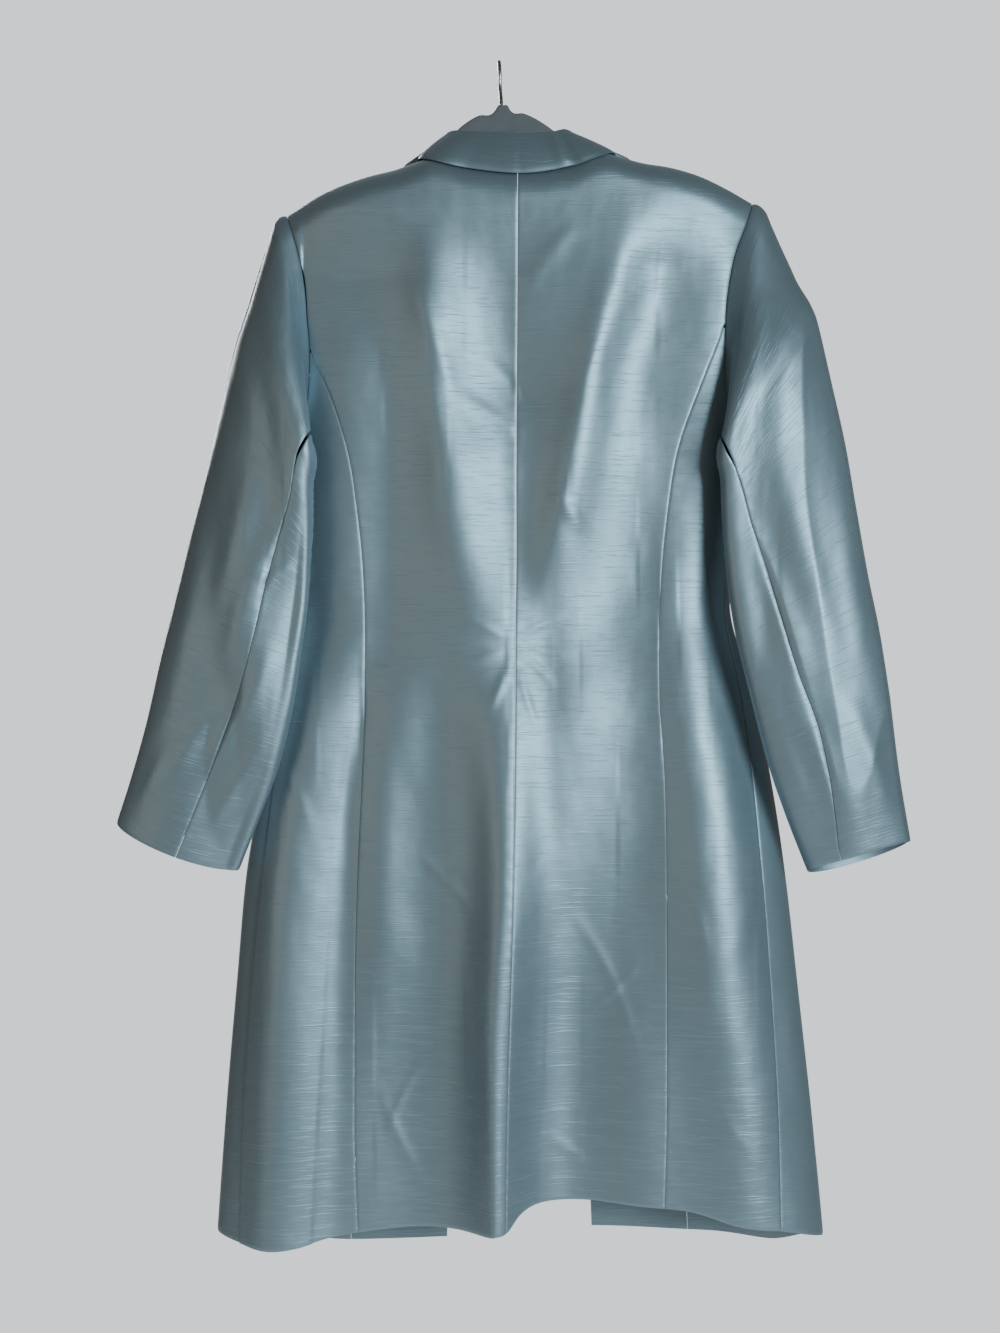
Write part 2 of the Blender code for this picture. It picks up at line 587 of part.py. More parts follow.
def make_collar(finish):
    """Each row of the collar runs from the neckline up its stand, over the roll and down its fall."""
    curve = columns_of([CollarNumbered(k, *row) for k, row in enumerate(COLLAR)])
    outer, inner = [], []
    for k in np.linspace(0, len(COLLAR) - 1, COLLAR_ROWS):
        at = {name: float(c(k)) for name, c in curve.items()}
        half = LEFT if at["edge_x"] < CENTRE(0) else RIGHT
        edge = lying(half, at["edge_x"], at["edge_z"], at["edge_y"] > 0, COLLAR_OFF)
        neck = np.array((at["neck_x"], at["neck_y"], at["neck_z"]))
        roll = np.array((at["roll_x"], at["roll_y"], at["roll_z"]))
        across = unit((edge - neck) * (1, 1, 0) + np.array((0, 0, 1e-6)))
        profile = [neck, neck + (roll - neck) * 0.5]
        for turn in (150, 90, 30):
            c, d = math.cos(math.radians(turn)), math.sin(math.radians(turn))
            profile.append(roll + across * ROLL_RADIUS * c + np.array((0, 0, ROLL_RADIUS * (d - 1))))
        for share in (0.35, 0.7, 1.0):
            profile.append(profile[4] + (edge - profile[4]) * share)
        profile = np.array(profile)
        along = unit(np.gradient(profile, axis=0))
        path = unit(np.array([curve[f"roll_{axis}"](k + 0.05) - curve[f"roll_{axis}"](k - 0.05) for axis in "xyz"]))
        facing = unit(np.cross(along, path))
        outer.append(profile + facing * COLLAR_WALL / 2)
        inner.append(profile - facing * COLLAR_WALL / 2)
    wall("collar", outer, inner, finish)


def make_lapel(half, finish):
    outer, inner = [], []
    for row in LAPEL:
        outer.append([])
        inner.append([])
        for share in np.linspace(0, 1, 6):
            z = row.roll_z + (row.outer_z - row.roll_z) * share
            x = float(half.width["front_edge"](z)) + half.sign * (row.width * share - LAPEL_OVER)
            outer[-1].append(lying(half, x, z, True, LAPEL_OFF + CLOTH_WALL))
            inner[-1].append(lying(half, x, z, True, LAPEL_OFF))
    wall(f"lapel_{half.name}", outer, inner, finish)


def make_hanger(velvet, steel):
    top = Curve([(row.x, row.top) for row in HANGER])
    height = Curve([(row.x, row.height) for row in HANGER])
    rings = []
    for x in [row.x for row in HANGER]:
        half = float(height(x)) / 2
        ring = []
        for turn in range(15, 375, 30):
            c, d = math.cos(math.radians(turn)), math.sin(math.radians(turn))
            rounded = (math.copysign(abs(c) ** 0.6, c), math.copysign(abs(d) ** 0.6, d))
            ring.append((x, HANGER_THICK / 2 * rounded[0], float(top(x)) - half + half * rounded[1] / abs(math.sin(math.radians(75))) ** 0.6))
        rings.append(ring)
    loft("hanger_body", rings, velvet)

    path = [HOOK_FOOT, (-1.8, 0, -2 * HOOK_RADIUS + ROD / 2)]
    for turn in range(-75, 201, 15):
        c, d = math.cos(math.radians(turn)), math.sin(math.radians(turn))
        z = HOOK_RADIUS * (d - 1) + ROD / 2
        path.append((HOOK_X + (HOOK_FOOT[0] - HOOK_X) * z / HOOK_FOOT[2], HOOK_RADIUS * c, z))
    data = bpy.data.curves.new("hanger_hook", "CURVE")
    data.dimensions = "3D"
    data.bevel_depth = ROD / 2 * MM
    data.bevel_resolution = 1
    data.use_fill_caps = True
    spline = data.splines.new("POLY")
    spline.points.add(len(path) - 1)
    for point, place in zip(spline.points, path):
        point.co = (*to_frame(place), 1.0)
    data.materials.append(steel)
    COAT.objects.link(bpy.data.objects.new("hanger_hook", data))


for thing in list(bpy.data.objects):
    bpy.data.objects.remove(thing)
COAT = bpy.data.collections.new("duster_blazer")
bpy.context.scene.collection.children.link(COAT)
silk = material("silk", SILK, 0.42)
for half, rings in ((LEFT, LEFT_SLEEVE), (RIGHT, RIGHT_SLEEVE)):
    make_body(half, silk)
    make_sleeve(Sleeve(half, rings), silk)
    make_lapel(half, silk)
make_collar(silk)
make_hanger(material("velvet", VELVET, 0.9), material("steel", STEEL, 0.35, 0.9))
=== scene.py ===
# %% [markdown]
# # A duster blazer of silk shantung, hung by a velvet hanger
#
# This lesson dresses a plain model of a long open blazer. The plain model comes in first and nothing of it moves:
# it says where each cut piece of cloth is. Every piece is then made again with much finer cloth, its creases, its
# seams and its finish.

# %% The plain model
import math
from collections import namedtuple

import bpy
import numpy as np
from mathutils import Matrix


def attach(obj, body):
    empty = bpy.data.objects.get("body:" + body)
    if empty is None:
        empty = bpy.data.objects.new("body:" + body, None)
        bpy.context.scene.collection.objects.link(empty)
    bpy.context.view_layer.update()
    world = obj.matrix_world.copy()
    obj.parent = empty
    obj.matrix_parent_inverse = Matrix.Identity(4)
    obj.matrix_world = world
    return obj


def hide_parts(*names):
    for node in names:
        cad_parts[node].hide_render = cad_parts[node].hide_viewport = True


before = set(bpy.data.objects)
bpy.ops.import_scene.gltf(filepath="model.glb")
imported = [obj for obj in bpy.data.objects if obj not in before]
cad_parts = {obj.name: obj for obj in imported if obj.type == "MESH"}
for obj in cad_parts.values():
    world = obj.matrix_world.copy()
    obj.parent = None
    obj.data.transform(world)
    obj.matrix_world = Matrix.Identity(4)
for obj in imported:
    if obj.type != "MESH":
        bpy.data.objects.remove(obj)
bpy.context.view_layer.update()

MM = 0.001

# %% [markdown]
# ## Camera
#
# The coat is seen from its back, straight on, from about 1.8 m. A camera can be aimed with a constraint or turned by
# hand. A level camera only needs a quarter turn about X, which also keeps the seams upright in the picture.

# %% Camera
def shown(name, data):
    """A new object in the scene."""
    made = bpy.data.objects.new(name, data)
    bpy.context.scene.collection.objects.link(made)
    return made


VIEW_FROM = (0.0008, -1.8, -0.542)
camera_data = bpy.data.cameras.new("camera")
camera_data.lens = 54
camera = shown("camera", camera_data)
camera.location = VIEW_FROM
camera.rotation_euler = (math.pi / 2, 0, 0)
bpy.context.scene.camera = camera
print("camera", VIEW_FROM, "lens", camera_data.lens)

# %% [markdown]
# ## Sizes of the coat
#
# A tailor writes a coat down as widths and heights. These tables do the same, in millimetres from the middle of the
# pin: where the seams are at each height, how deep the body is, the hem, the shoulders and the armholes. A table is
# easy to change, and a smooth curve through each column gives every height between its rows.

# %% Widths, depths, hems and armholes
def table(kind, *rows):
    """Rows of numbers whose columns have names."""
    return [kind(*row) for row in rows]


CLOTH_WALL = 1.4
COLLAR_WALL = 1.6
BODY_FLATNESS, SLEEVE_FLATNESS = 3.2, 0.85
SHOULDER_ROUND, NECK_DEPTH, NECK_HALF_WIDTH = 30.0, 22.0, 76.0
UNDERARM, HEM_LEVEL, HEM_SWAY_FROM = -349.0, -1040.0, -760.0
HOOK_X = -3.5
Width = namedtuple("Width", "height princess side_seam edge front_princess front_edge")
LEFT_WIDTHS = table(
    Width,
    (-130, -198, -200, -212, -190, -62),
    (-205, -182, -198, -206, -176, -59),
    (-264, -170, -192, -200, -168, -55),
    (-300, -154, -190, -196, -146, -52),
    (-349, -139, -187, -191, -122, -44),
    (-410, -130, -180, -185, -104, -34),
    (-484, -124, -177, -182, -98, -27),
    (-560, -123, -190, -198, -102, -29),
    (-640, -125, -203, -215, -110, -33),
    (-720, -128, -211, -229, -118, -37),
    (-820, -130, -221, -238, -126, -42),
    (-940, -130, -229, -248, -133, -47),
    (-1040, -127, -232, -255, -139, -51),
)
RIGHT_WIDTHS = table(
    Width,
    (-120, 226, 228, 240, 218, 90),
    (-205, 202, 224, 234, 198, 87),
    (-242, 195, 220, 229, 192, 84),
    (-285, 179, 215, 222, 172, 81),
    (-349, 157, 208, 213, 146, 73),
    (-410, 147, 202, 208, 128, 60),
    (-484, 140, 198, 204, 122, 52),
    (-560, 138, 210, 223, 128, 54),
    (-640, 142, 221, 240, 138, 59),
    (-720, 143, 228, 252, 147, 64),
    (-820, 143, 235, 263, 156, 71),
    (-940, 143, 241, 276, 163, 77),
    (-1040, 141, 243, 286, 169, 81),
)
CENTRE_SEAM = ((-100, 13.0), (-484, 11.0), (-1040, 8.0))
Depth = namedtuple("Depth", "height middle back front")
DEPTHS = table(
    Depth,
    (-120, 0, 44, 38),
    (-205, 0, 46, 40),
    (-349, 0, 47, 40),
    (-484, 0, 42, 36),
    (-600, -3, 48, 39),
    (-720, -7, 52, 43),
    (-880, -11, 52, 46),
    (-1040, -14, 50, 48),
)
SHOULDER_LINE = (
    (-212, -145), (-194, -137), (-164, -119), (-122, -103), (-94, -96), (-80, -91), (-63, -86), (-30, -96), (13, -101),
    (56, -95), (89, -82), (107, -86), (122, -90), (152, -95), (176, -102), (200, -113), (224, -126), (242, -135),
)
BACK_HEM = (
    (-260, -1043), (-232, -1049), (-205, -1052), (-150, -1043), (-100, -1036), (-60, -1034), (-30, -1035), (-6, -1034),
    (10, -1031), (24, -1019), (56, -1012), (120, -1015), (165, -1019), (205, -1030), (243, -1036), (286, -1048),
)
FRONT_HEM = (
    (-260, -1043), (-200, -1060), (-139, -1066), (-51, -1064), (81, -1054), (169, -1057), (240, -1062), (286, -1048),
)
LEFT_ARMHOLE = (
    (-137, -194), (-154, -189), (-184, -181), (-212, -176), (-237, -174), (-264, -171.5), (-300, -173), (-326, -178),
    (-341, -184), (-349, -187),
)
RIGHT_ARMHOLE = (
    (-126, 224), (-153, 216), (-183, 205.5), (-208, 200), (-242, 197), (-280, 197), (-315, 200), (-338, 205),
    (-349, 208),
)
print("skirt", 286 + 260, "mm wide at the hem, back", 224 + 194, "mm wide at the shoulders")

# %% [markdown]
# ## Main folds
#
# The skirt falls from the waist in a few soft folds, a strong one beside the centre back seam. A fold could be
# simulated, but then it falls where it likes. Here each one is a ridge with a path down the cloth, a rise and two
# widths, which puts it where it hangs on the real coat and leaves one flank steeper than the other.

# %% Fold tables
Fold = namedtuple("Fold", "name left_width right_width path")
BACK_FOLDS = table(
    Fold,
    ("centre ridge", 30, 42, ((-540, 2, 0), (-620, 5, 8), (-720, 3, 15), (-880, -8, 22), (-1050, -6, 27))),
    ("left ridge", 34, 52, ((-500, -172, 0), (-600, -180, 5), (-740, -192, 9), (-1050, -200, 14))),
    ("right ridge", 56, 30, ((-500, 182, 0), (-600, 186, 5), (-740, 204, 9), (-880, 222, 11), (-1050, 262, 12))),
    ("right hollow", 42, 60, ((-640, 96, 0), (-800, 74, -6), (-1050, 56, -13))),
    ("slanting fold", 22, 30, ((-120, 126, 0), (-190, 106, 6), (-290, 76, 8), (-400, 54, 7), (-520, 24, 0))),
    ("left blade fold", 20, 34, ((-150, -66, 0), (-220, -62, 5), (-330, -54, 6), (-440, -40, 4), (-520, -20, 0))),
)
FRONT_FOLDS = table(
    Fold,
    ("left front fold", 34, 34, ((-640, -150, 0), (-860, -170, 7), (-1060, -190, 10))),
    ("right front fold", 34, 34, ((-640, 176, 0), (-860, 196, 7), (-1060, 214, 10))),
)
print(len(BACK_FOLDS) + len(FRONT_FOLDS), "main folds")

# %% [markdown]
# ## A smooth curve and a fold's relief
#
# Straight lines between table rows would show as kinks in silk. A cubic through the rows whose slope is flat at each
# peak never swings past them, which a plain spline does.

# %% Curve and Relief
def clamp(share):
    return np.clip(share, 0.0, 1.0)


def bell(distance):
    """A smooth bump: 1 in its middle and almost 0 from 2 on."""
    return np.exp(-(distance**2))


class Curve:
    """A smooth curve through rows of (place, value), held past both ends."""

    def __init__(self, rows):
        self.at, self.value = np.array(sorted(rows), float).T
        gap = np.diff(self.at)
        step = np.diff(self.value) / gap
        self.slope = np.zeros(len(self.at))
        self.slope[0], self.slope[-1] = step[0], step[-1]
        mean = (step[:-1] * gap[1:] + step[1:] * gap[:-1]) / (gap[:-1] + gap[1:])
        self.slope[1:-1] = np.where(step[:-1] * step[1:] > 0, mean, 0.0)

    def __call__(self, at):
        at = np.clip(at, self.at[0], self.at[-1])
        i = np.clip(np.searchsorted(self.at, at, side="right") - 1, 0, len(self.at) - 2)
        span = self.at[i + 1] - self.at[i]
        t = (at - self.at[i]) / span
        ends = self.value[i] * (1 + 2 * t) * (1 - t) ** 2 + self.value[i + 1] * t * t * (3 - 2 * t)
        return ends + span * t * (1 - t) * (self.slope[i] * (1 - t) - self.slope[i + 1] * t)


def columns_of(table):
    return {name: Curve([(row[0], getattr(row, name)) for row in table]) for name in table[0]._fields[1:]}


class Relief:
    """How far one fold stands out of the plain surface."""

    def __init__(self, fold):
        self.left, self.right = fold.left_width, fold.right_width
        self.across = Curve([(height, place) for height, place, _ in fold.path])
        self.rise = Curve([(height, out) for height, _, out in fold.path])

    def __call__(self, x, z):
        aside = x - self.across(z)
        return self.rise(z) * bell(aside / np.where(aside < 0, self.left, self.right))


def unit(vectors):
    return vectors / np.sqrt(np.sum(vectors * vectors, axis=-1, keepdims=True))


DEPTH, CENTRE, SHOULDER = columns_of(DEPTHS), Curve(CENTRE_SEAM), Curve(SHOULDER_LINE)
HEM = {False: Curve(BACK_HEM), True: Curve(FRONT_HEM)}
FOLDS = {False: [Relief(fold) for fold in BACK_FOLDS], True: [Relief(fold) for fold in FRONT_FOLDS]}
print("at the waist the back is", round(float(DEPTH["back"](-484)), 1), "mm deep")

# %% [markdown]
# ## The coat's body
#
# Each half of the body is one surface: a height and a girth give a point, with girth 0 at the centre back, 90 at the
# side and 180 at the front. The panels are cut out of it between their seams, as a tailor cuts panels that together
# make one smooth body. Separate surfaces for each panel would need fitting to each other at every seam.

# %% Half of the body
class Half:
    """One side of the body. Rows 0 to 1 are between the shoulder line and the yoke, the others have set heights."""

    def __init__(self, name, sign, widths, armhole, yoke):
        self.name, self.sign, self.yoke = name, sign, yoke
        self.width = columns_of(widths)
        self.armhole = Curve(armhole)
        self.shoulder = armhole[0][0]
        self.rows = [yoke + (UNDERARM - yoke) * share for share in (0, 0.24, 0.48, 0.7, 0.87)]
        self.rows += [UNDERARM, -376, -408, -444, -484, -528, -574, -620, -668, -716]
        self.rows += [-764, -812, -860, -908, -956, -1000, HEM_LEVEL]
        self.numbers = np.arange(1, len(self.rows) + 1)

    def girth_at(self, z, x, front=False):
        half = np.abs(self.width["edge"](z) - CENTRE(z))
        girth = np.degrees(np.arcsin(clamp(self.sign * (x - CENTRE(z)) / half)))
        return np.where(front, 180 - girth, girth)

    def seam(self, name, z):
        return self.girth_at(z, self.width[name](z), front=name.startswith("front"))

    def back_armhole(self, z):
        return self.girth_at(z, self.armhole(z))

    def front_armhole(self, z):
        share = clamp((self.shoulder - z) / (self.shoulder - UNDERARM))
        mirrored = 180 - self.back_armhole(z) + 3.0 * np.sin(np.pi * share)
        return mirrored + (self.seam("side_seam", UNDERARM) - mirrored) * share**5

    def height(self, v, top):
        above = top - (top - self.yoke) * (1 - np.cos(np.pi / 2 * clamp(v)))
        return np.where(np.asarray(v) <= 1, above, np.interp(v, self.numbers, self.rows))

    def row_at(self, z):
        share = clamp((self.shoulder - z) / (self.shoulder - self.yoke))
        below = np.interp(-np.asarray(z), -np.array(self.rows), self.numbers)
        return np.where(np.asarray(z) > self.yoke, np.arccos(1 - share) * 2 / np.pi, below)

    def place(self, v, girth):
        v, girth = np.broadcast_arrays(np.asarray(v, float), np.asarray(girth, float))
        ring = self.height(v, self.shoulder)
        front = girth > 90
        share = np.sin(np.radians(girth))
        x = CENTRE(ring) + self.sign * np.abs(self.width["edge"](ring) - CENTRE(ring)) * share
        z = self.height(v, SHOULDER(x))
        sway = clamp((HEM_SWAY_FROM - z) / (HEM_SWAY_FROM - HEM_LEVEL)) ** 2
        z = z + (np.where(front, HEM[True](x), HEM[False](x)) - HEM_LEVEL) * sway
        full = np.where(front, DEPTH["front"](ring), DEPTH["back"](ring))
        full = full * np.sqrt(clamp(1 - share**BODY_FLATNESS))
        stand_out = [sum(fold(x, z) for fold in FOLDS[side]) for side in (True, False)]
        full = full + np.where(front, *stand_out) * clamp(3 * (1 - share))
        top = NECK_DEPTH * clamp(1 - ((x - CENTRE(0)) / NECK_HALF_WIDTH) ** 2)
        below = np.where(v <= 3, np.clip(SHOULDER(x) - z, 0.0, SHOULDER_ROUND), SHOULDER_ROUND)
        out = top + (full - top) * np.sqrt(1 - (1 - below / SHOULDER_ROUND) ** 2)
        return np.stack((x, DEPTH["middle"](ring) + np.where(front, out, -out), z), axis=-1)

    def normal(self, v, girth):
        v, girth = np.broadcast_arrays(np.asarray(v, float), np.asarray(girth, float))
        down = self.place(np.clip(v + 0.02, 0, len(self.rows)), girth) - self.place(np.clip(v - 0.02, 0, None), girth)
        low = np.where(girth > 90, np.maximum(girth - 0.4, 90.01), girth - 0.4)
        high = np.where(girth > 90, girth + 0.4, np.minimum(girth + 0.4, 90))
        around = self.place(v, high) - self.place(v, np.maximum(low, 0))
        return unit(np.cross(down, around) * self.sign)


LEFT = Half("left", -1, LEFT_WIDTHS, LEFT_ARMHOLE, -264.0)
RIGHT = Half("right", 1, RIGHT_WIDTHS, RIGHT_ARMHOLE, -242.0)
print("yokes at", LEFT.yoke, "and", RIGHT.yoke)

# %% [markdown]
# ## Creases
#
# Silk shantung keeps every crease that it was given. A crease here is a low ridge, or a hollow where its height is
# below zero, between two points of the cloth, with its own width and a bow. Noise would scatter them evenly, and real
# ones gather at the waist, the elbows and where the coat was folded, so the main ones are placed one by one.

# %% Crease tables
Crease = namedtuple("Crease", "x0 z0 x1 z1 width height bow")
BACK_CREASES = table(
    Crease,
    # small wrinkles that run out from the centre back at the waist
    (12, -516, 60, -498, 3.6, 0.9, 2), (12, -522, 66, -530, 3.2, 0.8, -2), (10, -528, 48, -560, 3.6, 0.9, 2),
    (6, -520, -40, -498, 3.4, 0.8, -2), (6, -526, -50, -540, 3.8, 0.9, 3), (8, -532, -18, -590, 4.4, 1.0, 2),
    (14, -540, 36, -604, 4.2, 0.9, -3),
    # diagonals of the upper back
    (-46, -300, 20, -345, 7, 1.3, 4), (-20, -262, 42, -318, 6, -1.0, -3), (30, -380, 78, -430, 7, 1.2, 3),
    (-90, -190, -40, -330, 9, 1.4, 6), (70, -150, 20, -210, 8, 1.2, -4),
    # creases from folding, in the skirt
    (-76, -706, -28, -756, 4, 0.9, 2), (-70, -724, -36, -712, 3, 0.6, -1), (58, -750, 122, -900, 5, 0.9, 8),
    (66, -850, 126, -790, 4, 0.7, -5), (-112, -900, -60, -1010, 5, 0.9, -6), (-104, -960, -66, -880, 4, 0.7, 4),
    (160, -730, 176, -800, 4, 0.8, 3), (-196, -620, -168, -690, 5, 0.9, 2), (24, -940, 92, -1000, 5, 0.7, 3),
    (176, -900, 226, -980, 6, 0.8, -5),
)
FRONT_CREASES = table(
    Crease,
    (-60, -560, -72, -1040, 15, 2.4, 4), (-104, -600, -112, -1040, 12, -2.2, -3),
    (92, -570, 100, -1030, 16, 2.4, -4), (138, -600, 150, -1030, 12, -2.2, 3), (-150, -380, -110, -470, 8, 1.4, 4),
    (168, -370, 130, -460, 8, 1.4, -4), (-130, -210, -90, -300, 9, 1.3, 5), (150, -200, 118, -290, 9, 1.3, -5),
    (-96, -500, -50, -520, 4, 0.8, 2), (120, -496, 76, -516, 4, 0.8, -2), (-150, -760, -110, -850, 5, 0.8, 4),
    (190, -780, 150, -870, 5, 0.8, -4),
)


def relief(creases, x, z):
    total = np.zeros_like(x)
    for crease in creases:
        run, fall = crease.x1 - crease.x0, crease.z1 - crease.z0
        length = math.hypot(run, fall)
        along = ((x - crease.x0) * run + (z - crease.z0) * fall) / length**2
        fade = clamp(1 - (2 * along - 1) ** 2)
        aside = ((x - crease.x0) * fall - (z - crease.z0) * run) / length + crease.bow * fade
        total += crease.height * fade**1.5 * bell(aside / crease.width)
    return total


print(len(BACK_CREASES), "creases on the back,", len(FRONT_CREASES), "on the front")

# %% [markdown]
# ## Leaning bands
#
# Satin shows which way it leans: what leans right, to the window, is light, and what leans left is dark. So the broad
# bands of the back are written as leans, from -1 for left to 1 for right, across the cloth at a few heights. Adding
# the leans up from one side to the other gives the cloth's relief, which a table of heights would only give by trial.

# %% Leans of the back
LEAN = 0.24
BACK_LEANS = (
    (-134, (
        (-178, 0.1), (-125, 0.2), (-81, -0.3), (-42, 0.4), (-3, 0.2),
        (24, -0.4), (67, -0.2), (120, 0.5), (164, -0.1), (203, 0),
    )),
    (-221, (
        (-191, 0), (-178, 0.4), (-134, 0.3), (-90, -0.7), (-42, 0.8), (-3, 0.2),
        (19, -0.5), (67, -0.1), (111, 0.8), (155, -0.6), (190, -0.8), (203, 0),
    )),
    (-291, (
        (-178, 0), (-151, 0.2), (-116, 0.6), (-90, -0.4), (-38, 0.9), (-3, 0.4),
        (24, -0.6), (59, -0.3), (94, 0.8), (137, -0.5), (181, -0.8), (197, 0),
    )),
    (-361, (
        (-173, 0), (-143, 0.6), (-116, 0.7), (-81, -0.8), (-11, 0.9), (15, -0.1),
        (41, -0.6), (85, 0.8), (129, -0.2), (172, -0.9), (193, 0),
    )),
    (-431, (
        (-173, 0), (-151, 0.5), (-125, 0.8), (-73, -0.8), (-3, 0.8),
        (32, -0.6), (76, 0.8), (111, 0.1), (146, -0.9), (192, 0),
    )),
    (-510, (
        (-178, 0), (-151, 0.4), (-125, 0.8), (-90, -0.3), (-46, -0.4), (-20, 0.1), (15, 1),
        (50, 0.3), (76, 0.6), (111, -0.1), (146, -0.9), (185, 0.6), (203, 0),
    )),
    (-589, (
        (-211, 0), (-186, -0.2), (-156, 1.3), (-130, 1.3), (-121, -0.7), (-73, 0.4), (-33, -0.9), (-3, 0.2),
        (19, 1), (50, 0), (85, 0.6), (120, -0.1), (155, -0.9), (190, 0.7), (223, 0),
    )),
    (-659, (
        (-221, 0), (-200, -0.3), (-173, 1.3), (-147, 1.3), (-123, -0.8), (-90, 0.6), (-20, -0.9), (-3, 0.2),
        (24, 1), (50, -0.2), (76, 0.5), (120, -0.1), (164, -0.9), (207, 0.7), (235, 0),
    )),
    (-764, (
        (-235, 0), (-213, -0.5), (-182, 1.3), (-156, 1.3), (-123, -0.8), (-90, 0.6), (-20, -0.9), (-3, 0),
        (19, 1), (59, 0.1), (102, -0.1), (172, -0.8), (216, 0.7), (255, 0),
    )),
    (-930, (
        (-248, 0), (-221, -0.4), (-186, 1.3), (-160, 1.3), (-134, 0.1), (-108, 0.5), (-29, -1), (-7, -0.2),
        (15, 1), (50, 0.2), (94, -0.7), (137, 0.1), (190, -0.7), (234, 0.4), (270, 0),
    )),
    (-1035, (
        (-251, 0), (-221, -0.3), (-191, 1.3), (-165, 1.3), (-134, 0.1), (-99, 0.4), (-33, -0.9), (-7, -0.1),
        (15, 0.9), (50, 0.2), (94, -0.6), (137, 0.1), (190, -0.6), (238, 0.3), (279, 0),
    )),
)


class Bands:
    """The relief whose slope across the cloth is the leans' one."""

    def __init__(self, rows, level=True, step=2.0, fall=4.0):
        self.xs, self.zs = np.arange(-370.0, 380.0, step), np.arange(-1070.0, -120.0, fall)
        sums = []
        for _, leans in rows:
            lean = Curve(leans)(self.xs)
            rise = -np.cumsum(lean * (1 + 0.5 * np.abs(self.xs) / 200)) * LEAN * step
            inside = (self.xs >= leans[0][0]) & (self.xs <= leans[-1][0])
            share = clamp((self.xs - leans[0][0]) / (leans[-1][0] - leans[0][0])) if level else 0.0
            sums.append(np.where(inside, rise - rise[inside][-1] * share, 0.0) if level else rise)
        sums = np.array(sums)
        heights = [row[0] for row in rows]
        self.grid = np.array([Curve(list(zip(heights, sums[:, k])))(self.zs) for k in range(len(self.xs))]).T
        self.step, self.fall = step, fall

    def __call__(self, x, z):
        a = np.clip((x - self.xs[0]) / self.step, 0, len(self.xs) - 1.001)
        b = np.clip((z - self.zs[0]) / self.fall, 0, len(self.zs) - 1.001)
        i, j = a.astype(int), b.astype(int)
        a, b = a - i, b - j
        low = self.grid[j, i] * (1 - a) + self.grid[j, i + 1] * a
        return low * (1 - b) + (self.grid[j + 1, i] * (1 - a) + self.grid[j + 1, i + 1] * a) * b


BACK_BANDS = Bands(BACK_LEANS)
print(f"bands rise {BACK_BANDS.grid.max():.1f} mm and sink {-BACK_BANDS.grid.min():.1f} mm")

# %% [markdown]
# ## Cloth walls
#
# Cloth has two skins and an edge. A single sheet with a Solidify modifier is the quick way. These walls are made
# directly, because their outer skin rolls in at every seam while the inner one stays, and so that each point can
# keep its place along and across the cloth, which the weave needs.


def to_frame(points):
    return (points - np.array((HOOK_X, 0.0, 0.0))) * MM


def wall(name, outer, inner, grain, finish, flip):
    """A closed wall between two grids of points, with the place of each point on the flat cloth."""
    rows, columns = outer.shape[:2]
    count = rows * columns
    index = np.arange(count).reshape(rows, columns)
    quads = np.stack((index[:-1, :-1], index[:-1, 1:], index[1:, 1:], index[1:, :-1]), axis=-1).reshape(-1, 4)
    rim = np.concatenate((index[0], index[1:, -1], index[-1, -2::-1], index[-2:0:-1, 0]))
    after = np.roll(rim, -1)
    edge = np.stack((after, rim, rim + count, after + count), axis=-1)
    faces = np.concatenate((quads, quads[:, ::-1] + count, edge))
    if flip:
        faces = faces[:, ::-1]
    mesh = bpy.data.meshes.new(name)
    points = np.concatenate((to_frame(outer).reshape(-1, 3), to_frame(inner).reshape(-1, 3)))
    mesh.from_pydata(points, [], faces.tolist())
    place = mesh.attributes.new("grain", "FLOAT_VECTOR", "POINT")
    place.data.foreach_set("vector", np.concatenate((grain, grain)).astype(np.float32).ravel())
    mesh.shade_smooth()
    mesh.set_sharp_from_angle(angle=math.radians(50))
    mesh.materials.append(finish)
    made = shown(name, mesh)
    a, b = outer[:-1, 1:] - outer[:-1, :-1], outer[1:, :-1] - outer[:-1, :-1]
    area = float(np.linalg.norm(np.cross(a, b), axis=-1).sum()) * MM * MM
    across = np.linalg.norm(np.diff(outer, axis=1), axis=-1).sum(axis=1).max() * MM
    down = np.linalg.norm(np.diff(outer, axis=0), axis=-1).sum(axis=0).max() * MM
    return made


def stands_for(piece, node):
    """Says what a piece rides on and which plain piece it replaces."""
    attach(piece, "root")
    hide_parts(node)


def hung(piece, node):
    """Says the same for a cloth piece."""
    stands_for(piece, node)


def stations(length, count):
    """Places across a piece: this many evenly over its middle, and closer ones beside its seams."""
    near = 0.15 + np.array((0.0, 0.45, 1.0, 1.8, 3.0)) * min(1.0, length / 14)
    middle = np.linspace(near[-1] + (near[-1] - near[-2]), length - 2 * near[-1] + near[-2], count)
    return np.concatenate((near, middle, length - near[::-1]))


def lengths(line):
    return np.concatenate(([0], np.cumsum(np.linalg.norm(np.diff(line, axis=0), axis=1))))


print("walls", CLOTH_WALL, "mm thick")

# %% [markdown]
# ## Finishes
#
# A finish is a network of shader nodes. Wiring it by hand hides the sums in boxes, so a small class lets a socket
# take part in plain arithmetic, and each sum adds its Math node. Every other node comes from one method.

# %% Value and Finish
class Value:
    """A number that changes over a surface. Arithmetic with it adds Math nodes."""

    def __init__(self, finish, socket):
        self.finish, self.socket = finish, socket

    def sum(self, operation, first, second):
        return self.finish.node("ShaderNodeMath", {"operation": operation}, {0: first, 1: second})

    def __add__(self, other):
        return self.sum("ADD", self, other)

    def __mul__(self, other):
        return self.sum("MULTIPLY", self, other)

    __radd__ = __add__
    __rmul__ = __mul__


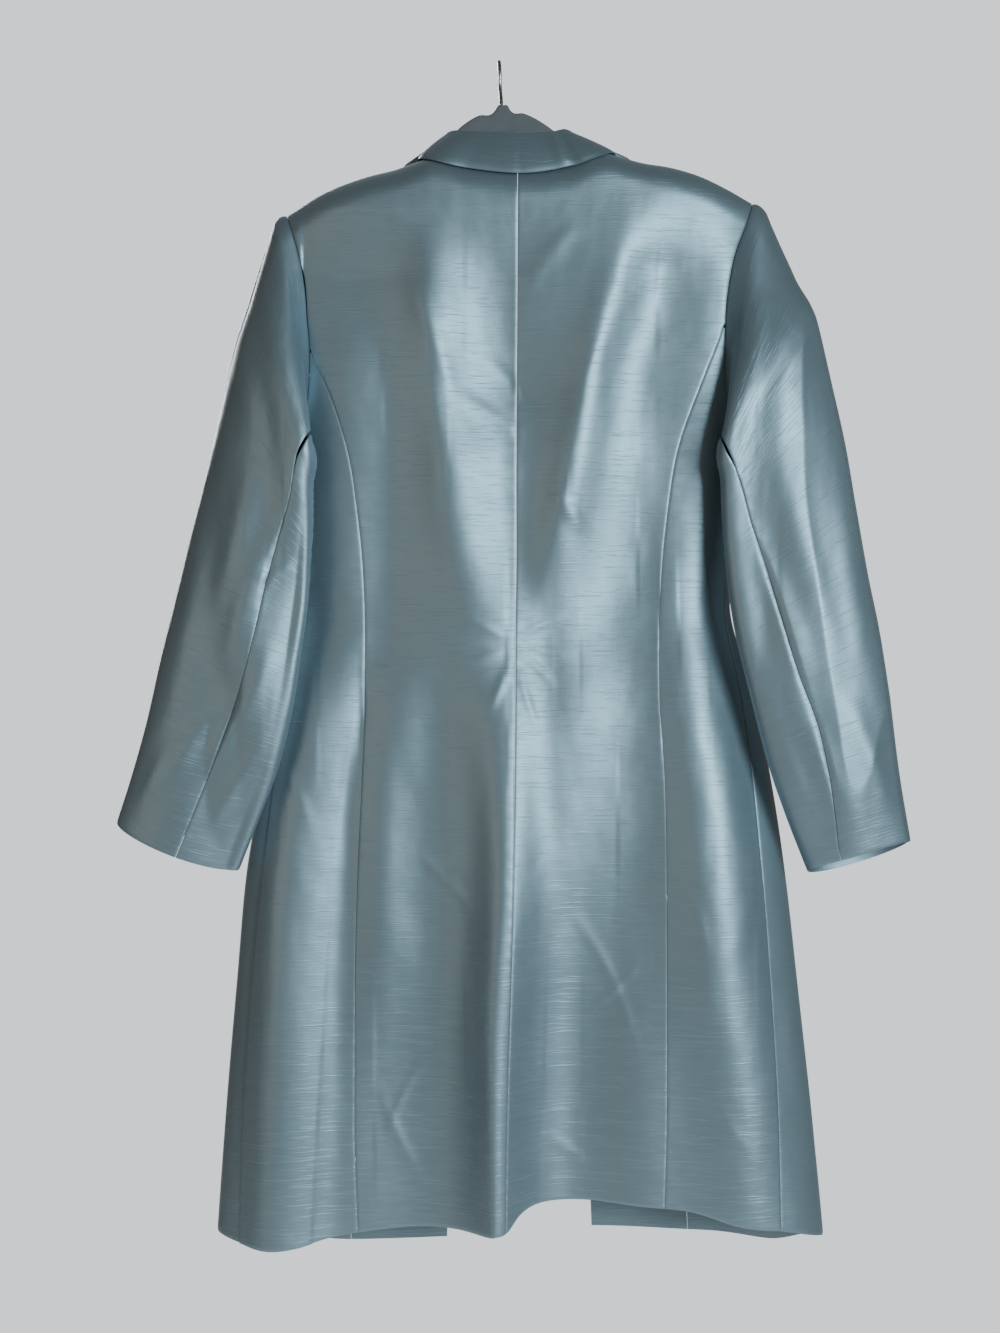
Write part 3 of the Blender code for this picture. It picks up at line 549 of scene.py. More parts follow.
class Finish:
    """A material whose shader starts with the values that are the same all over."""

    def __init__(self, name, **constants):
        self.material = bpy.data.materials.new(name)
        self.material.use_nodes = True
        self.tree = self.material.node_tree
        self.shader = self.tree.nodes["Principled BSDF"]
        for socket, value in constants.items():
            self.shader.inputs[socket.replace("_", " ")].default_value = value

    def feed(self, socket, value):
        if isinstance(value, Value):
            self.tree.links.new(value.socket, socket)
        else:
            socket.default_value = value

    def node(self, kind, settings=None, inputs=None, output=0):
        made = self.tree.nodes.new(kind)
        for name, value in (settings or {}).items():
            if name == "stops":
                while len(made.color_ramp.elements) < len(value):
                    made.color_ramp.elements.new(1.0)
                for stop, (place, level) in zip(made.color_ramp.elements, value):
                    stop.position, stop.color = place, (level, level, level, 1)
            else:
                setattr(made, name, value)
        for name, value in (inputs or {}).items():
            self.feed(made.inputs[name], value)
        return Value(self, made.outputs[output])

    def noise(self, vector, stretch, detail=2.0, roughness=0.5):
        """Cloudy values from 0 to 1, this many to a metre along each direction."""
        scaled = self.node("ShaderNodeVectorMath", {"operation": "MULTIPLY"}, {0: vector, 1: stretch})
        inputs = {"Vector": scaled, "Scale": 1.0, "Detail": detail, "Roughness": roughness}
        return self.node("ShaderNodeTexNoise", {}, inputs, "Fac")

    def mix(self, factor, first, second):
        inputs = {0: factor, 6: (*first, 1) if isinstance(first, tuple) else first}
        inputs[7] = (*second, 1) if isinstance(second, tuple) else second
        return self.node("ShaderNodeMix", {"data_type": "RGBA"}, inputs, 2)

    def show(self, **sockets):
        for name, value in sockets.items():
            self.feed(self.shader.inputs[name.replace("_", " ")], value)


print("finishes ready")

# %% [markdown]
# ## Silk shantung
#
# Shantung is woven with a fine smooth warp and a thicker uneven weft, so it shines like satin and has thin slubs that
# all run across the piece. An image of cloth would repeat. Here noise is stretched along the weft, in metres of the
# piece itself, so the slubs follow each cut piece and keep their size. Its shine is bluish and soft.

# %% Silk finish
def silk_finish():
    silk = Finish(
        "silk_shantung", Specular_IOR_Level=0.4, Sheen_Weight=0.2, Sheen_Roughness=0.45,
        Sheen_Tint=(0.72, 0.86, 1.0, 1.0),
    )
    grain = silk.node("ShaderNodeAttribute", {"attribute_name": "grain"}, output="Vector")
    weft = silk.noise(grain, (60.0, 1500.0, 1.0), 1.0)
    warp = silk.noise(grain, (1700.0, 70.0, 1.0), 1.0)
    slub = silk.noise(grain, (26.0, 620.0, 3.0), 2.0, 0.6)
    thick = silk.node("ShaderNodeValToRGB", {"stops": ((0.56, 0.0), (0.72, 1.0))}, {"Fac": slub})
    cloud = silk.noise(grain, (5.0, 3.2, 9.0), 3.0, 0.55)
    rumple = silk.noise(grain, (17.0, 11.0, 5.0), 2.0, 0.5)
    dimple = silk.noise(grain, (60.0, 42.0, 7.0), 1.0, 0.5)
    tone = silk.mix(cloud, (0.124, 0.173, 0.198), (0.186, 0.256, 0.292))
    tone = silk.mix(weft * 0.30 + slub * 0.24, tone, (0.235, 0.335, 0.38))
    height = rumple * 0.0022 + dimple * 0.00022 + thick * 0.00010 + weft * 0.00006 + warp * 0.00003
    bump = silk.node("ShaderNodeBump", {}, {"Strength": 1.0, "Distance": 1.0, "Height": height})
    silk.show(
        Base_Color=tone,
        Roughness=0.39 + cloud * 0.07 + weft * 0.07,
        Metallic=0.66 + cloud * 0.12,
        Normal=bump,
    )
    return silk.material


SILK = silk_finish()
print("silk finish has", len(SILK.node_tree.nodes), "nodes")

# %% [markdown]
# ## Body panels
#
# Four panels make each half: back, side back, side front and front. Each is cut from the half's surface between two
# seams. Beside a seam the cloth turns in and puckers a little, which is what makes a sewn line show, and at the hem
# it turns under. The rows are about 3 mm apart, fine enough for the small wrinkles of the waist.

# %% Cutting a panel
SEAM_ROLL = 0.36
SEAM_ROLL_WIDTH, HEM_ROLL_WIDTH = 1.0, 1.5
PUCKER_HEIGHT, PUCKER_PITCH, PUCKER_WIDTH = 0.16, 2.3, 7
BACK_PITCH, FRONT_PITCH = 3.0, 4.4


def rows_of(half, full, pitch):
    """Rows down a panel, from the shoulder line or from the yoke."""
    heights = np.arange(half.yoke, HEM_LEVEL + 4, -pitch)
    hem = np.array((-1036.5, -1038.0, -1039.0, -1039.6, HEM_LEVEL))
    below = half.row_at(np.concatenate((heights, hem)))
    if not full:
        return below
    return np.concatenate((np.linspace(0, 1, int((half.shoulder - half.yoke) / pitch) + 8, endpoint=False), below))


def pucker(down, number):
    """The slight gathering along a sewn seam."""
    wave = PUCKER_HEIGHT * np.sin(down / PUCKER_PITCH + 2.1 * np.sin(down / 31 + number))
    return wave * (0.6 + 0.4 * np.sin(down / 57 + 2 * number))


def spread(plans, pitch):
    """Places across each row of a piece, with how far they are from the nearest seam and from the row's middle."""
    count = int(max(along[-1] for _, along, _ in plans) / pitch)
    spots, beside, across = [], [], []
    for places, along, gap in plans:
        at = stations(along[-1] - 2 * gap, count)
        spots.append(np.interp(at + gap, along, places))
        beside.append(np.minimum(at, along[-1] - 2 * gap - at))
        across.append(at - along[-1] / 2)
    return np.array(spots), np.array(beside), np.array(across)


def skins(middle, out, beside, edge, more=0.0):
    """The outer skin, which rolls in at its seams and at its hem or cuff, and the plain inner one."""
    roll = SEAM_ROLL * (bell(beside / SEAM_ROLL_WIDTH) + bell(edge / HEM_ROLL_WIDTH)) + more
    return middle - out * np.minimum(roll, 1.0)[..., None], middle - out * CLOTH_WALL


def body_panel(half, name, start, end, full, pitch, number):
    front = name.startswith(("front", "side_front"))
    rows = rows_of(half, full, pitch)
    plans = []
    for v in rows:
        z = float(half.height(v, half.shoulder))
        places = np.linspace(float(start(z)), float(end(z)), 61)
        plans.append((places, lengths(half.place(v, places)), 0.0))
    girths, beside, across = spread(plans, pitch)
    v = rows[:, None]
    skin, out = half.place(v, girths), half.normal(v, girths)
    x, z = skin[..., 0], skin[..., 2]
    calm = clamp((half.shoulder - z) / 40) * clamp(beside / 6 + 0.25)
    rise = relief(FRONT_CREASES if front else BACK_CREASES, x, z) * calm
    if not front:
        bands = BACK_BANDS(x, z) * clamp((half.shoulder - z) / 60)
        rise = rise + bands * clamp(3 - girths / 30)
    rise = rise + pucker(z, number) * bell(beside / PUCKER_WIDTH)
    middle = skin + out * rise[..., None]
    hem_side = np.broadcast_to((half.height(v, half.shoulder) - HEM_LEVEL), beside.shape)
    outer, inner = skins(middle, out, beside, hem_side)
    if full:
        side = 1 if front else -1
        for grid in (outer, inner):
            grid[0, :, 1] = side * np.maximum(side * grid[0, :, 1], 0.15)
    grain = np.stack((across * MM, -z * MM, np.full_like(x, 0.37 * number)), axis=-1).reshape(-1, 3)
    return wall(f"{name}_{half.name}_cloth", outer, inner, grain, SILK, flip=half.sign > 0)


print("panel rows about", BACK_PITCH, "mm apart")

# %% Cutting the eight panels
def eased_armhole(half, z):
    eased = 1.2 * clamp((UNDERARM + 18 - z) / 18)
    return half.back_armhole(z) - eased if z >= UNDERARM else half.seam("side_seam", z)


def body_panels(half, number):
    def outer(armhole, level, seam):
        return lambda z: armhole(z) if z > level else half.seam(seam, z)

    back_outer = outer(half.back_armhole, half.yoke, "princess")
    side_front_outer = outer(half.front_armhole, UNDERARM, "side_seam")
    front_outer = outer(half.front_armhole, half.yoke, "front_princess")
    cuts = (
        ("back", lambda z: 0.0, back_outer, True, BACK_PITCH, ["hanger_velvet"]),
        ("side_back", lambda z: half.seam("princess", z), lambda z: eased_armhole(half, z), False, BACK_PITCH, []),
        ("side_front", side_front_outer, lambda z: half.seam("front_princess", z), False, FRONT_PITCH, []),
        ("front", front_outer, lambda z: half.seam("front_edge", z), True, FRONT_PITCH, ["hanger_velvet"]),
    )
    for k, (name, start, end, full, pitch, rests_on) in enumerate(cuts):
        piece = body_panel(half, name, start, end, full, pitch, number + k)
        hung(piece, f"{name}_{half.name}")

# %% [markdown]
# ## Hanger
#
# The hanger is a thin board covered in flocked velvet, with a steel wire hook. It could stay as the plain solid with a
# better finish, but its neck shows against the light, so it is made again with smooth curves through the same sizes.

# %% Hanger sizes
HangerRow = namedtuple("HangerRow", "x top height")
HANGER = table(
    HangerRow,
    (-177, -134, 5), (-174, -129.5, 11), (-164, -121.5, 16), (-143, -112.6, 19),
    (-122, -105.4, 20), (-94, -98.4, 21), (-80, -93.6, 21), (-70, -90.6, 22),
    (-63, -89.4, 24), (-57, -85, 25), (-50, -73, 25), (-42, -60.5, 24),
    (-33, -52.6, 22), (-22, -46.3, 20), (-8.5, -43.3, 19), (-6.8, -41.2, 21),
    (-4.5, -37.4, 24.6), (0, -37, 25), (4.5, -37.6, 24.4), (6.6, -41.6, 20.4),
    (8.5, -43.3, 19), (18, -44.2, 19), (29, -48.9, 20), (40, -55.8, 22),
    (50, -63.6, 24), (60, -73.5, 25), (70, -81, 24), (80, -85, 22),
    (92, -85.6, 21), (107, -88.4, 21), (122, -92.4, 20), (152, -97.4, 19),
    (176, -104.4, 18), (194, -112.6, 15), (202, -118.5, 11), (205, -123, 5),
)
HOOK_RADIUS, ROD, HOOK_FOOT = 15.5, 3.2, (-1.4, 0, -36.4)
HANGER_HALF_WALL, HANGER_SQUARENESS, HANGER_AROUND = 3.0, 0.6, 24
print("hanger", 205 + 177, "mm wide")

# %% Velvet and steel finishes
def velvet_finish():
    velvet = Finish("grey_velvet", Sheen_Weight=0.25, Sheen_Roughness=0.35, Sheen_Tint=(0.80, 0.88, 1.0, 1.0))
    at = velvet.node("ShaderNodeTexCoord", output="Object")
    nap = velvet.noise(at, (1900.0, 1900.0, 1900.0), 1.0)
    brushed = velvet.noise(at, (38.0, 38.0, 60.0), 3.0, 0.6)
    tone = velvet.mix(brushed, (0.050, 0.056, 0.062), (0.100, 0.110, 0.118))
    tone = velvet.mix(nap * 0.5, tone, (0.14, 0.15, 0.16))
    height = nap * 0.00012 + brushed * 0.0003
    bump = velvet.node("ShaderNodeBump", {}, {"Strength": 1.0, "Distance": 1.0, "Height": height})
    velvet.show(Base_Color=tone, Roughness=0.78 + nap * 0.18, Normal=bump)
    return velvet.material


def steel_finish():
    steel = Finish("dark_steel_wire", Metallic=1.0)
    at = steel.node("ShaderNodeTexCoord", output="Object")
    scratch = steel.noise(at, (900.0, 900.0, 90.0), 2.0)
    tarnish = steel.noise(at, (70.0, 70.0, 70.0), 3.0)
    tone = steel.mix(tarnish, (0.22, 0.22, 0.23), (0.46, 0.46, 0.47))
    bump = steel.node("ShaderNodeBump", {}, {"Strength": 0.6, "Distance": 1.0, "Height": scratch * 0.00003})
    steel.show(Base_Color=tone, Roughness=0.20 + tarnish * 0.16 + scratch * 0.08, Normal=bump)
    return steel.material


print("velvet and steel ready")

# %% Velvet body of the hanger
def hanger_body():
    top = Curve([(row.x, row.top) for row in HANGER])
    height = Curve([(row.x, row.height) for row in HANGER])
    xs = np.unique(np.concatenate((np.linspace(-177, 205, 190), [row.x for row in HANGER])))
    step = 360 / HANGER_AROUND
    turns = np.radians(np.arange(HANGER_AROUND) * step + step / 2)
    c, d = np.cos(turns), np.sin(turns)
    flat_top = np.sin(np.radians(90 - step / 2)) ** HANGER_SQUARENESS
    side, rise = (np.sign(part) * np.abs(part) ** HANGER_SQUARENESS for part in (c, d))
    rise = rise / flat_top
    rings = np.stack([
        np.stack((np.full_like(c, x), HANGER_HALF_WALL * side, top(x) - height(x) / 2 * (1 - rise)), axis=-1)
        for x in xs
    ])
    count, around = rings.shape[:2]
    index = np.arange(count * around).reshape(count, around)
    after = np.roll(index, -1, axis=1)
    sides = np.stack((index[:-1], index[1:], after[1:], after[:-1]), axis=-1).reshape(-1, 4)
    faces = sides.tolist() + [index[0].tolist(), index[-1][::-1].tolist()]
    mesh = bpy.data.meshes.new("hanger_velvet")
    mesh.from_pydata(to_frame(rings).reshape(-1, 3), [], faces)
    mesh.shade_smooth()
    mesh.set_sharp_from_angle(angle=math.radians(60))
    mesh.materials.append(velvet_finish())
    made = shown("hanger_velvet", mesh)
    stands_for(made, "hanger_body")
    print("hanger_velvet:", len(mesh.polygons), "faces")


hanger_body()

# %% Wire hook
def hanger_hook():
    path = [HOOK_FOOT, (-1.8, 0, -2 * HOOK_RADIUS + ROD / 2)]
    for turn in range(-75, 201, 6):
        c, d = math.cos(math.radians(turn)), math.sin(math.radians(turn))
        z = HOOK_RADIUS * (d - 1) + ROD / 2
        path.append((HOOK_X + (HOOK_FOOT[0] - HOOK_X) * z / HOOK_FOOT[2], HOOK_RADIUS * c, z))
    data = bpy.data.curves.new("hanger_wire", "CURVE")
    data.dimensions = "3D"
    data.bevel_depth = ROD / 2 * MM
    data.bevel_resolution = 4
    data.use_fill_caps = True
    spline = data.splines.new("POLY")
    spline.points.add(len(path) - 1)
    for point, place in zip(spline.points, to_frame(np.array(path, float))):
        point.co = (*place, 1.0)
    data.materials.append(steel_finish())
    made = shown("hanger_wire", data)
    stands_for(made, "hanger_hook")
    print("hanger_wire:", len(path), "points")


hanger_hook()

# %% Sewing the body
body_panels(LEFT, 1)
body_panels(RIGHT, 6)

# %% [markdown]
# ## Sleeves
#
# A tailored sleeve is two pieces, an upper and an under one. On the hanger it hangs empty and flat, with drag folds
# that run down from the elbow. Its surface is a row of rings from the armhole to the cuff. A turn of 0 is its outer
# side, 90 the side towards the viewer and 180 its inner side.

# %% Sleeve sizes
Ring = namedtuple(
    "Ring", "outer_x outer_y outer_z inner_x inner_y inner_z depth bulge out tip dip back_seam front_seam"
)
Numbered = namedtuple("Numbered", ("number", *Ring._fields))
LEFT_SLEEVE = table(
    Ring,
    (-209, 0, -136, -162, -40, -320, 34, 6, 8, 0, 0, 176, 240),
    (-215, 0, -171, -157, -52, -334, 36, 12, 14, 0, 0, 165, 240),
    (-227, -6, -220, -160, -57, -360, 36, 18, 15, 0, 0, 140, 240),
    (-239, -10, -260, -165, -57, -386, 33, 22, 13, 0, 0, 129, 234),
    (-252, -14, -318, -165, -57, -417, 30, 24, 9, 0, 0, 123, 222),
    (-265, -18, -375, -167, -58, -450, 27, 22, 5, 0, 0, 115, 222),
    (-279, -22, -432, -170, -58, -490, 26, 18, 2, 0, 0, 109, 222),
    (-291, -26, -485, -176, -58, -532, 26, 14, 0, 0, 0, 107, 223),
    (-303, -29, -535, -183, -57, -577, 25, 10, 0, 0, 0, 103, 224),
    (-315, -31, -590, -196, -54, -630, 24, 7, 0, 0, 2, 96, 226),
    (-328, -33, -638, -213, -48, -674, 22, 5, 0, -4, 5, 93, 228),
    (-341, -34, -679, -232, -42, -721, 20, 3, 0, -8, 9, 90, 230),
)
RIGHT_SLEEVE = table(
    Ring,
    (240, 0, -127, 186, -40, -316, 34, 6, 8, 0, 0, 176, 240),
    (251, 0, -167, 181, -52, -330, 36, 12, 14, 0, 0, 174, 240),
    (263, -5, -200, 184, -57, -355, 36, 18, 15, 0, 0, 154, 240),
    (274, -8, -229, 189, -57, -379, 33, 22, 13, 0, 0, 143, 234),
    (287, -12, -285, 190, -57, -404, 30, 24, 9, 0, 0, 132, 222),
    (300, -16, -344, 192, -58, -437, 27, 22, 5, 0, 0, 125, 222),
    (309, -20, -400, 196, -58, -477, 26, 18, 2, 0, 0, 116, 222),
    (319, -23, -460, 204, -58, -522, 26, 14, 0, 0, 0, 111, 223),
    (329, -27, -512, 215, -57, -566, 25, 10, 0, 0, 0, 108, 224),
    (339, -30, -580, 230, -52, -622, 24, 7, 0, 0, -1, 101, 226),
    (348, -33, -642, 247, -46, -670, 22, 5, 0, 4, -3, 104, 228),
    (358, -34, -697, 268, -40, -722, 20, 3, 0, 8, -5, 115, 230),
)
print(len(LEFT_SLEEVE), "rings to a sleeve")

# %% Sleeve surface
LEAVING_RINGS = 2.6
ARMHOLE_GAP, HEAD_SIDE, HEAD_OUT = 0.5, 4.5, 5.0
ARM_FOLD_TURN, ARM_FOLD_SPREAD, ARM_FOLD_IN, ARM_FOLD_OUT = 150, 34, 16, 12


class Sleeve:
    """One sleeve. It starts on the armhole's edge and reaches its own rings a little below."""

    def __init__(self, half, rings):
        self.half, self.name = half, half.name
        self.ring = columns_of([Numbered(k, *ring) for k, ring in enumerate(rings)])
        self.last = len(rings) - 1

    def armhole(self, turn):
        turn = np.asarray(turn, float) % 360
        z = (self.half.shoulder + UNDERARM) / 2 + (self.half.shoulder - UNDERARM) / 2 * np.cos(np.radians(turn))
        girth = np.where(turn <= 180, self.half.back_armhole(z), self.half.front_armhole(z))
        return self.half.row_at(z), girth

    def frame(self, turn):
        here = self.half.place(*self.armhole(turn))
        out = self.half.normal(*self.armhole(turn))
        along = self.half.place(*self.armhole(turn + 1.0)) - self.half.place(*self.armhole(turn - 1.0))
        return here, out, unit(np.cross(along, out) * -self.half.sign)

    def place(self, s, turn):
        s, turn = np.broadcast_arrays(np.asarray(s, float), np.asarray(turn, float))
        ring = {name: curve(s) for name, curve in self.ring.items()}
        c, d = np.cos(np.radians(turn)), np.sin(np.radians(turn))
        outer = np.stack([ring[f"outer_{axis}"] for axis in "xyz"], axis=-1)
        inner = np.stack([ring[f"inner_{axis}"] for axis in "xyz"], axis=-1)
        point = (outer + inner) / 2 + (outer - inner) / 2 * c[..., None]
        far = d < 0
        reach = ring["depth"] + np.where(far, ring["bulge"] * (1 + c) / 2, 0.0)
        point[..., 1] -= reach * np.sign(d) * np.abs(d) ** SLEEVE_FLATNESS
        point[..., 0] += self.half.sign * np.where(far, ring["out"], 0.0) * np.sqrt(np.abs(d))
        point[..., 2] -= np.where(far, ring["tip"], ring["dip"]) * np.abs(d)
        here, out, away = self.frame(turn)
        lift = clamp(s / 0.6)[..., None]
        fold = bell((turn - ARM_FOLD_TURN) / ARM_FOLD_SPREAD)[..., None]
        start = here + away * (ARMHOLE_GAP + HEAD_SIDE * lift - ARM_FOLD_IN * fold * lift**2)
        start = start + out * ((HEAD_OUT + ARM_FOLD_OUT * fold) * lift)
        share = 1 - (1 - clamp(s / LEAVING_RINGS)[..., None]) ** 1.8
        return start + (point - start) * share

    def normal(self, s, turn):
        s, turn = np.broadcast_arrays(np.asarray(s, float), np.asarray(turn, float))
        down = self.place(np.minimum(s + 0.1, self.last), turn) - self.place(np.maximum(s - 0.1, 0), turn)
        around = self.place(s, turn + 4) - self.place(s, turn - 4)
        found = unit(np.cross(around, down) * self.half.sign)
        edge = clamp(1 - s / 0.3)[..., None]
        return unit(found * (1 - edge) + self.half.normal(*self.armhole(turn)) * edge)


print("a sleeve is", round(float(np.linalg.norm(np.subtract(LEFT_SLEEVE[0][:3], LEFT_SLEEVE[-1][:3])))), "mm long")

# %% Sleeve creases
SLEEVE_CREASES = {
    "left": table(
        Crease,
        (-205, -200, -186, -330, 13, 2.6, 3), (-232, -210, -214, -360, 12, 2.4, -4),
        (-214, -330, -262, -520, 12, 2.6, 8), (-188, -400, -246, -560, 11, 2.6, -6),
        (-262, -380, -292, -600, 12, 2.4, 3), (-196, -520, -268, -640, 10, 2.4, 5),
        (-236, -560, -304, -660, 9, 2.0, -4), (-216, -610, -262, -690, 8, 1.8, 3),
        (-286, -600, -322, -680, 8, 1.6, -2), (-180, -450, -216, -470, 6, 1.2, 2),
    ),
    "right": table(
        Crease,
        (222, -190, 206, -320, 12, 2.2, 4), (252, -200, 236, -380, 13, 2.6, -4),
        (238, -340, 288, -540, 12, 2.6, -7), (212, -420, 262, -580, 11, 2.4, 6),
        (286, -360, 316, -580, 12, 2.2, -3), (244, -540, 306, -680, 10, 2.2, -5), (290, -560, 338, -690, 9, 1.8, 3),
        (240, -600, 282, -700, 8, 1.6, -3),
    ),
}


SLEEVE_LEANS = {
    "right": (
        (-170, ((180, 0), (215, 0.1), (240, -0.4), (258, 0))),
        (-221, ((190, 0), (202, 0.5), (225, -0.7), (255, -0.9), (272, 0))),
        (-361, ((177, 0), (200, 0.5), (222, -0.8), (270, -0.9), (300, 0))),
        (-501, ((194, 0), (215, 0.4), (242, -0.9), (288, -0.6), (308, 0.3), (325, 0))),
        (-624, ((230, 0), (255, -0.3), (288, -0.9), (316, 0.5), (345, 0))),
        (-720, ((262, 0), (290, -0.5), (330, 0.2), (358, 0))),
    ),
    "left": (
        (-170, ((-215, 0), (-200, -0.2), (-180, 0))),
        (-221, ((-232, 0), (-215, -0.3), (-195, 0.6), (-178, 0))),
        (-361, ((-270, 0), (-250, -0.3), (-215, 0.6), (-195, -0.3), (-168, 0))),
        (-501, ((-300, 0), (-275, 0.3), (-240, -0.2), (-205, 0.6), (-172, 0))),
        (-624, ((-325, 0), (-300, 0.2), (-262, 0.7), (-230, -0.6), (-192, 0))),
        (-720, ((-345, 0), (-310, 0.1), (-270, 0.4), (-230, 0))),
    ),
}
SLEEVE_BANDS = {side: Bands(rows, level=False) for side, rows in SLEEVE_LEANS.items()}


SLEEVE_PITCH = 3.2
SLEEVE_GAP, UNDERARM_GAP = 0.1, 1.35


def sleeve_piece(sleeve, name, number):
    rows = np.linspace(0, LEAVING_RINGS, 60, endpoint=False)
    rows = np.concatenate((rows, np.linspace(LEAVING_RINGS, sleeve.last - 0.06, 150)))
    rows = np.concatenate((rows, sleeve.last - np.array((0.045, 0.03, 0.015, 0.0))))
    plans = []
    for s in rows:
        back, front = float(sleeve.ring["back_seam"](s)), float(sleeve.ring["front_seam"](s))
        start, end = (front - 360, back) if name == "upper" else (back, front)
        places = np.linspace(start, end, 91)
        gap = SLEEVE_GAP + UNDERARM_GAP * float(clamp((3.4 - s) / 0.8))
        plans.append((places, lengths(sleeve.place(s, places)), gap))
    turns, beside, across = spread(plans, SLEEVE_PITCH)
    s = rows[:, None]
    skin, out = sleeve.place(s, turns), sleeve.normal(s, turns)
    x, z = skin[..., 0], skin[..., 2]
    facing = clamp(np.abs(np.sin(np.radians(turns))) * 1.6) * clamp((s - 0.5) / 1.2)
    rise = relief(SLEEVE_CREASES[sleeve.name], x, z) * facing * clamp(beside / 6 + 0.3)
    towards = clamp(np.sin(np.radians(turns)) * 1.8) * clamp((s - 1.0) / 2.0)
    rise = rise + np.clip(SLEEVE_BANDS[sleeve.name](x, z), -9.0, 12.0) * towards
    rise = rise + pucker(z, number) * bell(beside / PUCKER_WIDTH) * clamp(s)
    middle = skin + out * rise[..., None]
    down = np.concatenate(([0], np.cumsum(np.linalg.norm(np.diff(skin, axis=0), axis=-1).mean(axis=1))))[:, None]
    cuff = np.broadcast_to(down[-1] - down, beside.shape)
    at_armhole = SEAM_ROLL * bell(np.broadcast_to(down, beside.shape) / 1.6)
    outer, inner = skins(middle, out, beside, cuff, at_armhole)
    flat = np.stack((across * MM, np.broadcast_to(down, across.shape) * MM, np.full_like(x, 0.41 * number)), axis=-1)
    flip = sleeve.half.sign < 0
    piece = wall(f"{name}_sleeve_{sleeve.name}_cloth", outer, inner, flat.reshape(-1, 3), SILK, flip)
    hung(piece, f"{name}_sleeve_{sleeve.name}")


for sleeve, number in ((Sleeve(LEFT, LEFT_SLEEVE), 11), (Sleeve(RIGHT, RIGHT_SLEEVE), 14)):
    sleeve_piece(sleeve, "upper", number)
    sleeve_piece(sleeve, "under", number + 1)

# %% [markdown]
# ## Collar
#
# The collar stands up round the neck, rolls over and falls on the back. It is cut as one piece. Its rows run from the
# neckline up the stand, over the roll and down the fall, as the cloth does. The fall is a little full and lifts off
# the coat between its ends, and it buckles once on the right.

# %% Collar sizes
CollarRow = namedtuple("CollarRow", "number neck_x neck_y neck_z roll_x roll_y roll_z edge_x edge_y edge_z")
COLLAR = table(
    CollarRow,
    (0, -66, 41.5, -150, -57.5, 45, -146, -106, 40, -153),
    (1, -60, 41.5, -116, -57, 45, -110, -104, 40, -131),
    (2, -60.5, 30, -97, -55, 34, -84, -99, 30, -110),
    (3, -61, 12, -86, -53, 16, -69, -91, 13, -97),
    (4, -62, 0, -85, -51, 3, -64.5, -81.5, 0, -87.8),
    (5, -49, -6.3, -88.4, -44, -10, -63, -66, -20, -95),
    (6, -27, -14.5, -96, -20, -18, -65.5, -38, -34, -102.5),
    (7, 13, -20.8, -100.2, 13, -21, -67.5, 14, -40, -108.5),
    (8, 53, -14.5, -95, 42, -18, -66, 58, -34, -102.5),
    (9, 75, -6.0, -84.9, 56, -10, -61.8, 86, -20, -92.5),
    (10, 88, 0, -81, 63, 3, -62.5, 107, 0, -82.6),
    (11, 87, 12, -82, 67, 16, -66, 117, 12, -92),
    (12, 86.5, 30, -93, 74, 34, -81, 126, 30, -105),
    (13, 86, 41.5, -112, 83, 45, -107, 131, 40, -128),
    (14, 93, 41.5, -146, 85, 45, -142, 134, 40, -149),
)
COLLAR_ROLL, COLLAR_FULLNESS, COLLAR_OFF_COAT = 2.4, 1.6, 2.3
COLLAR_CLOTH, COLLAR_FALL, COLLAR_EDGE_ROLL = 75, 55, 0.9
BUCKLES = ((7.95, 0.16, 2.0), (8.28, 0.13, -1.6), (7.03, 0.05, -0.5))
print(len(COLLAR), "rows round the collar")

# %% Collar
def lying(half, x, z, front, off):
    """The point that lies this far off the coat's outer skin at x and z."""
    drop = clamp((SHOULDER(x) - z) / (SHOULDER(x) - half.yoke))
    v = np.where(z <= half.yoke, half.row_at(z), np.arccos(1 - drop) * 2 / np.pi)
    girth = half.girth_at(z, x, front)
    return half.place(v, girth) + half.normal(v, girth) * np.asarray(off, float)[..., None]


def collar_profile(at, path):
    """Points of one row from the neckline over the roll to the fall's edge."""
    half = LEFT if at["edge_x"] < CENTRE(0) else RIGHT
    edge = lying(half, at["edge_x"], at["edge_z"], at["edge_y"] > 0, COLLAR_OFF_COAT)
    neck = np.array((at["neck_x"], at["neck_y"], at["neck_z"]))
    roll = np.array((at["roll_x"], at["roll_y"], at["roll_z"]))
    across = unit((edge - neck) * (1, 1, 0) + np.array((0, 0, 1e-6)))
    profile = [neck + (roll - neck) * share for share in (0, 0.02, 0.15, 0.3, 0.5, 0.7)]
    for turn in np.linspace(150, 30, 9):
        c, d = math.cos(math.radians(turn)), math.sin(math.radians(turn))
        profile.append(roll + across * COLLAR_ROLL * c + np.array((0, 0, COLLAR_ROLL * (d - 1))))
    last = profile[-1]
    for share in (0.08, 0.17, 0.27, 0.38, 0.5, 0.62, 0.73, 0.83, 0.91, 0.96, 0.985, 1.0):
        profile.append(last + (edge - last) * share + across * COLLAR_FULLNESS * math.sin(math.pi * share))
    profile = np.array(profile)
    return profile, unit(np.cross(unit(np.gradient(profile, axis=0)), path))


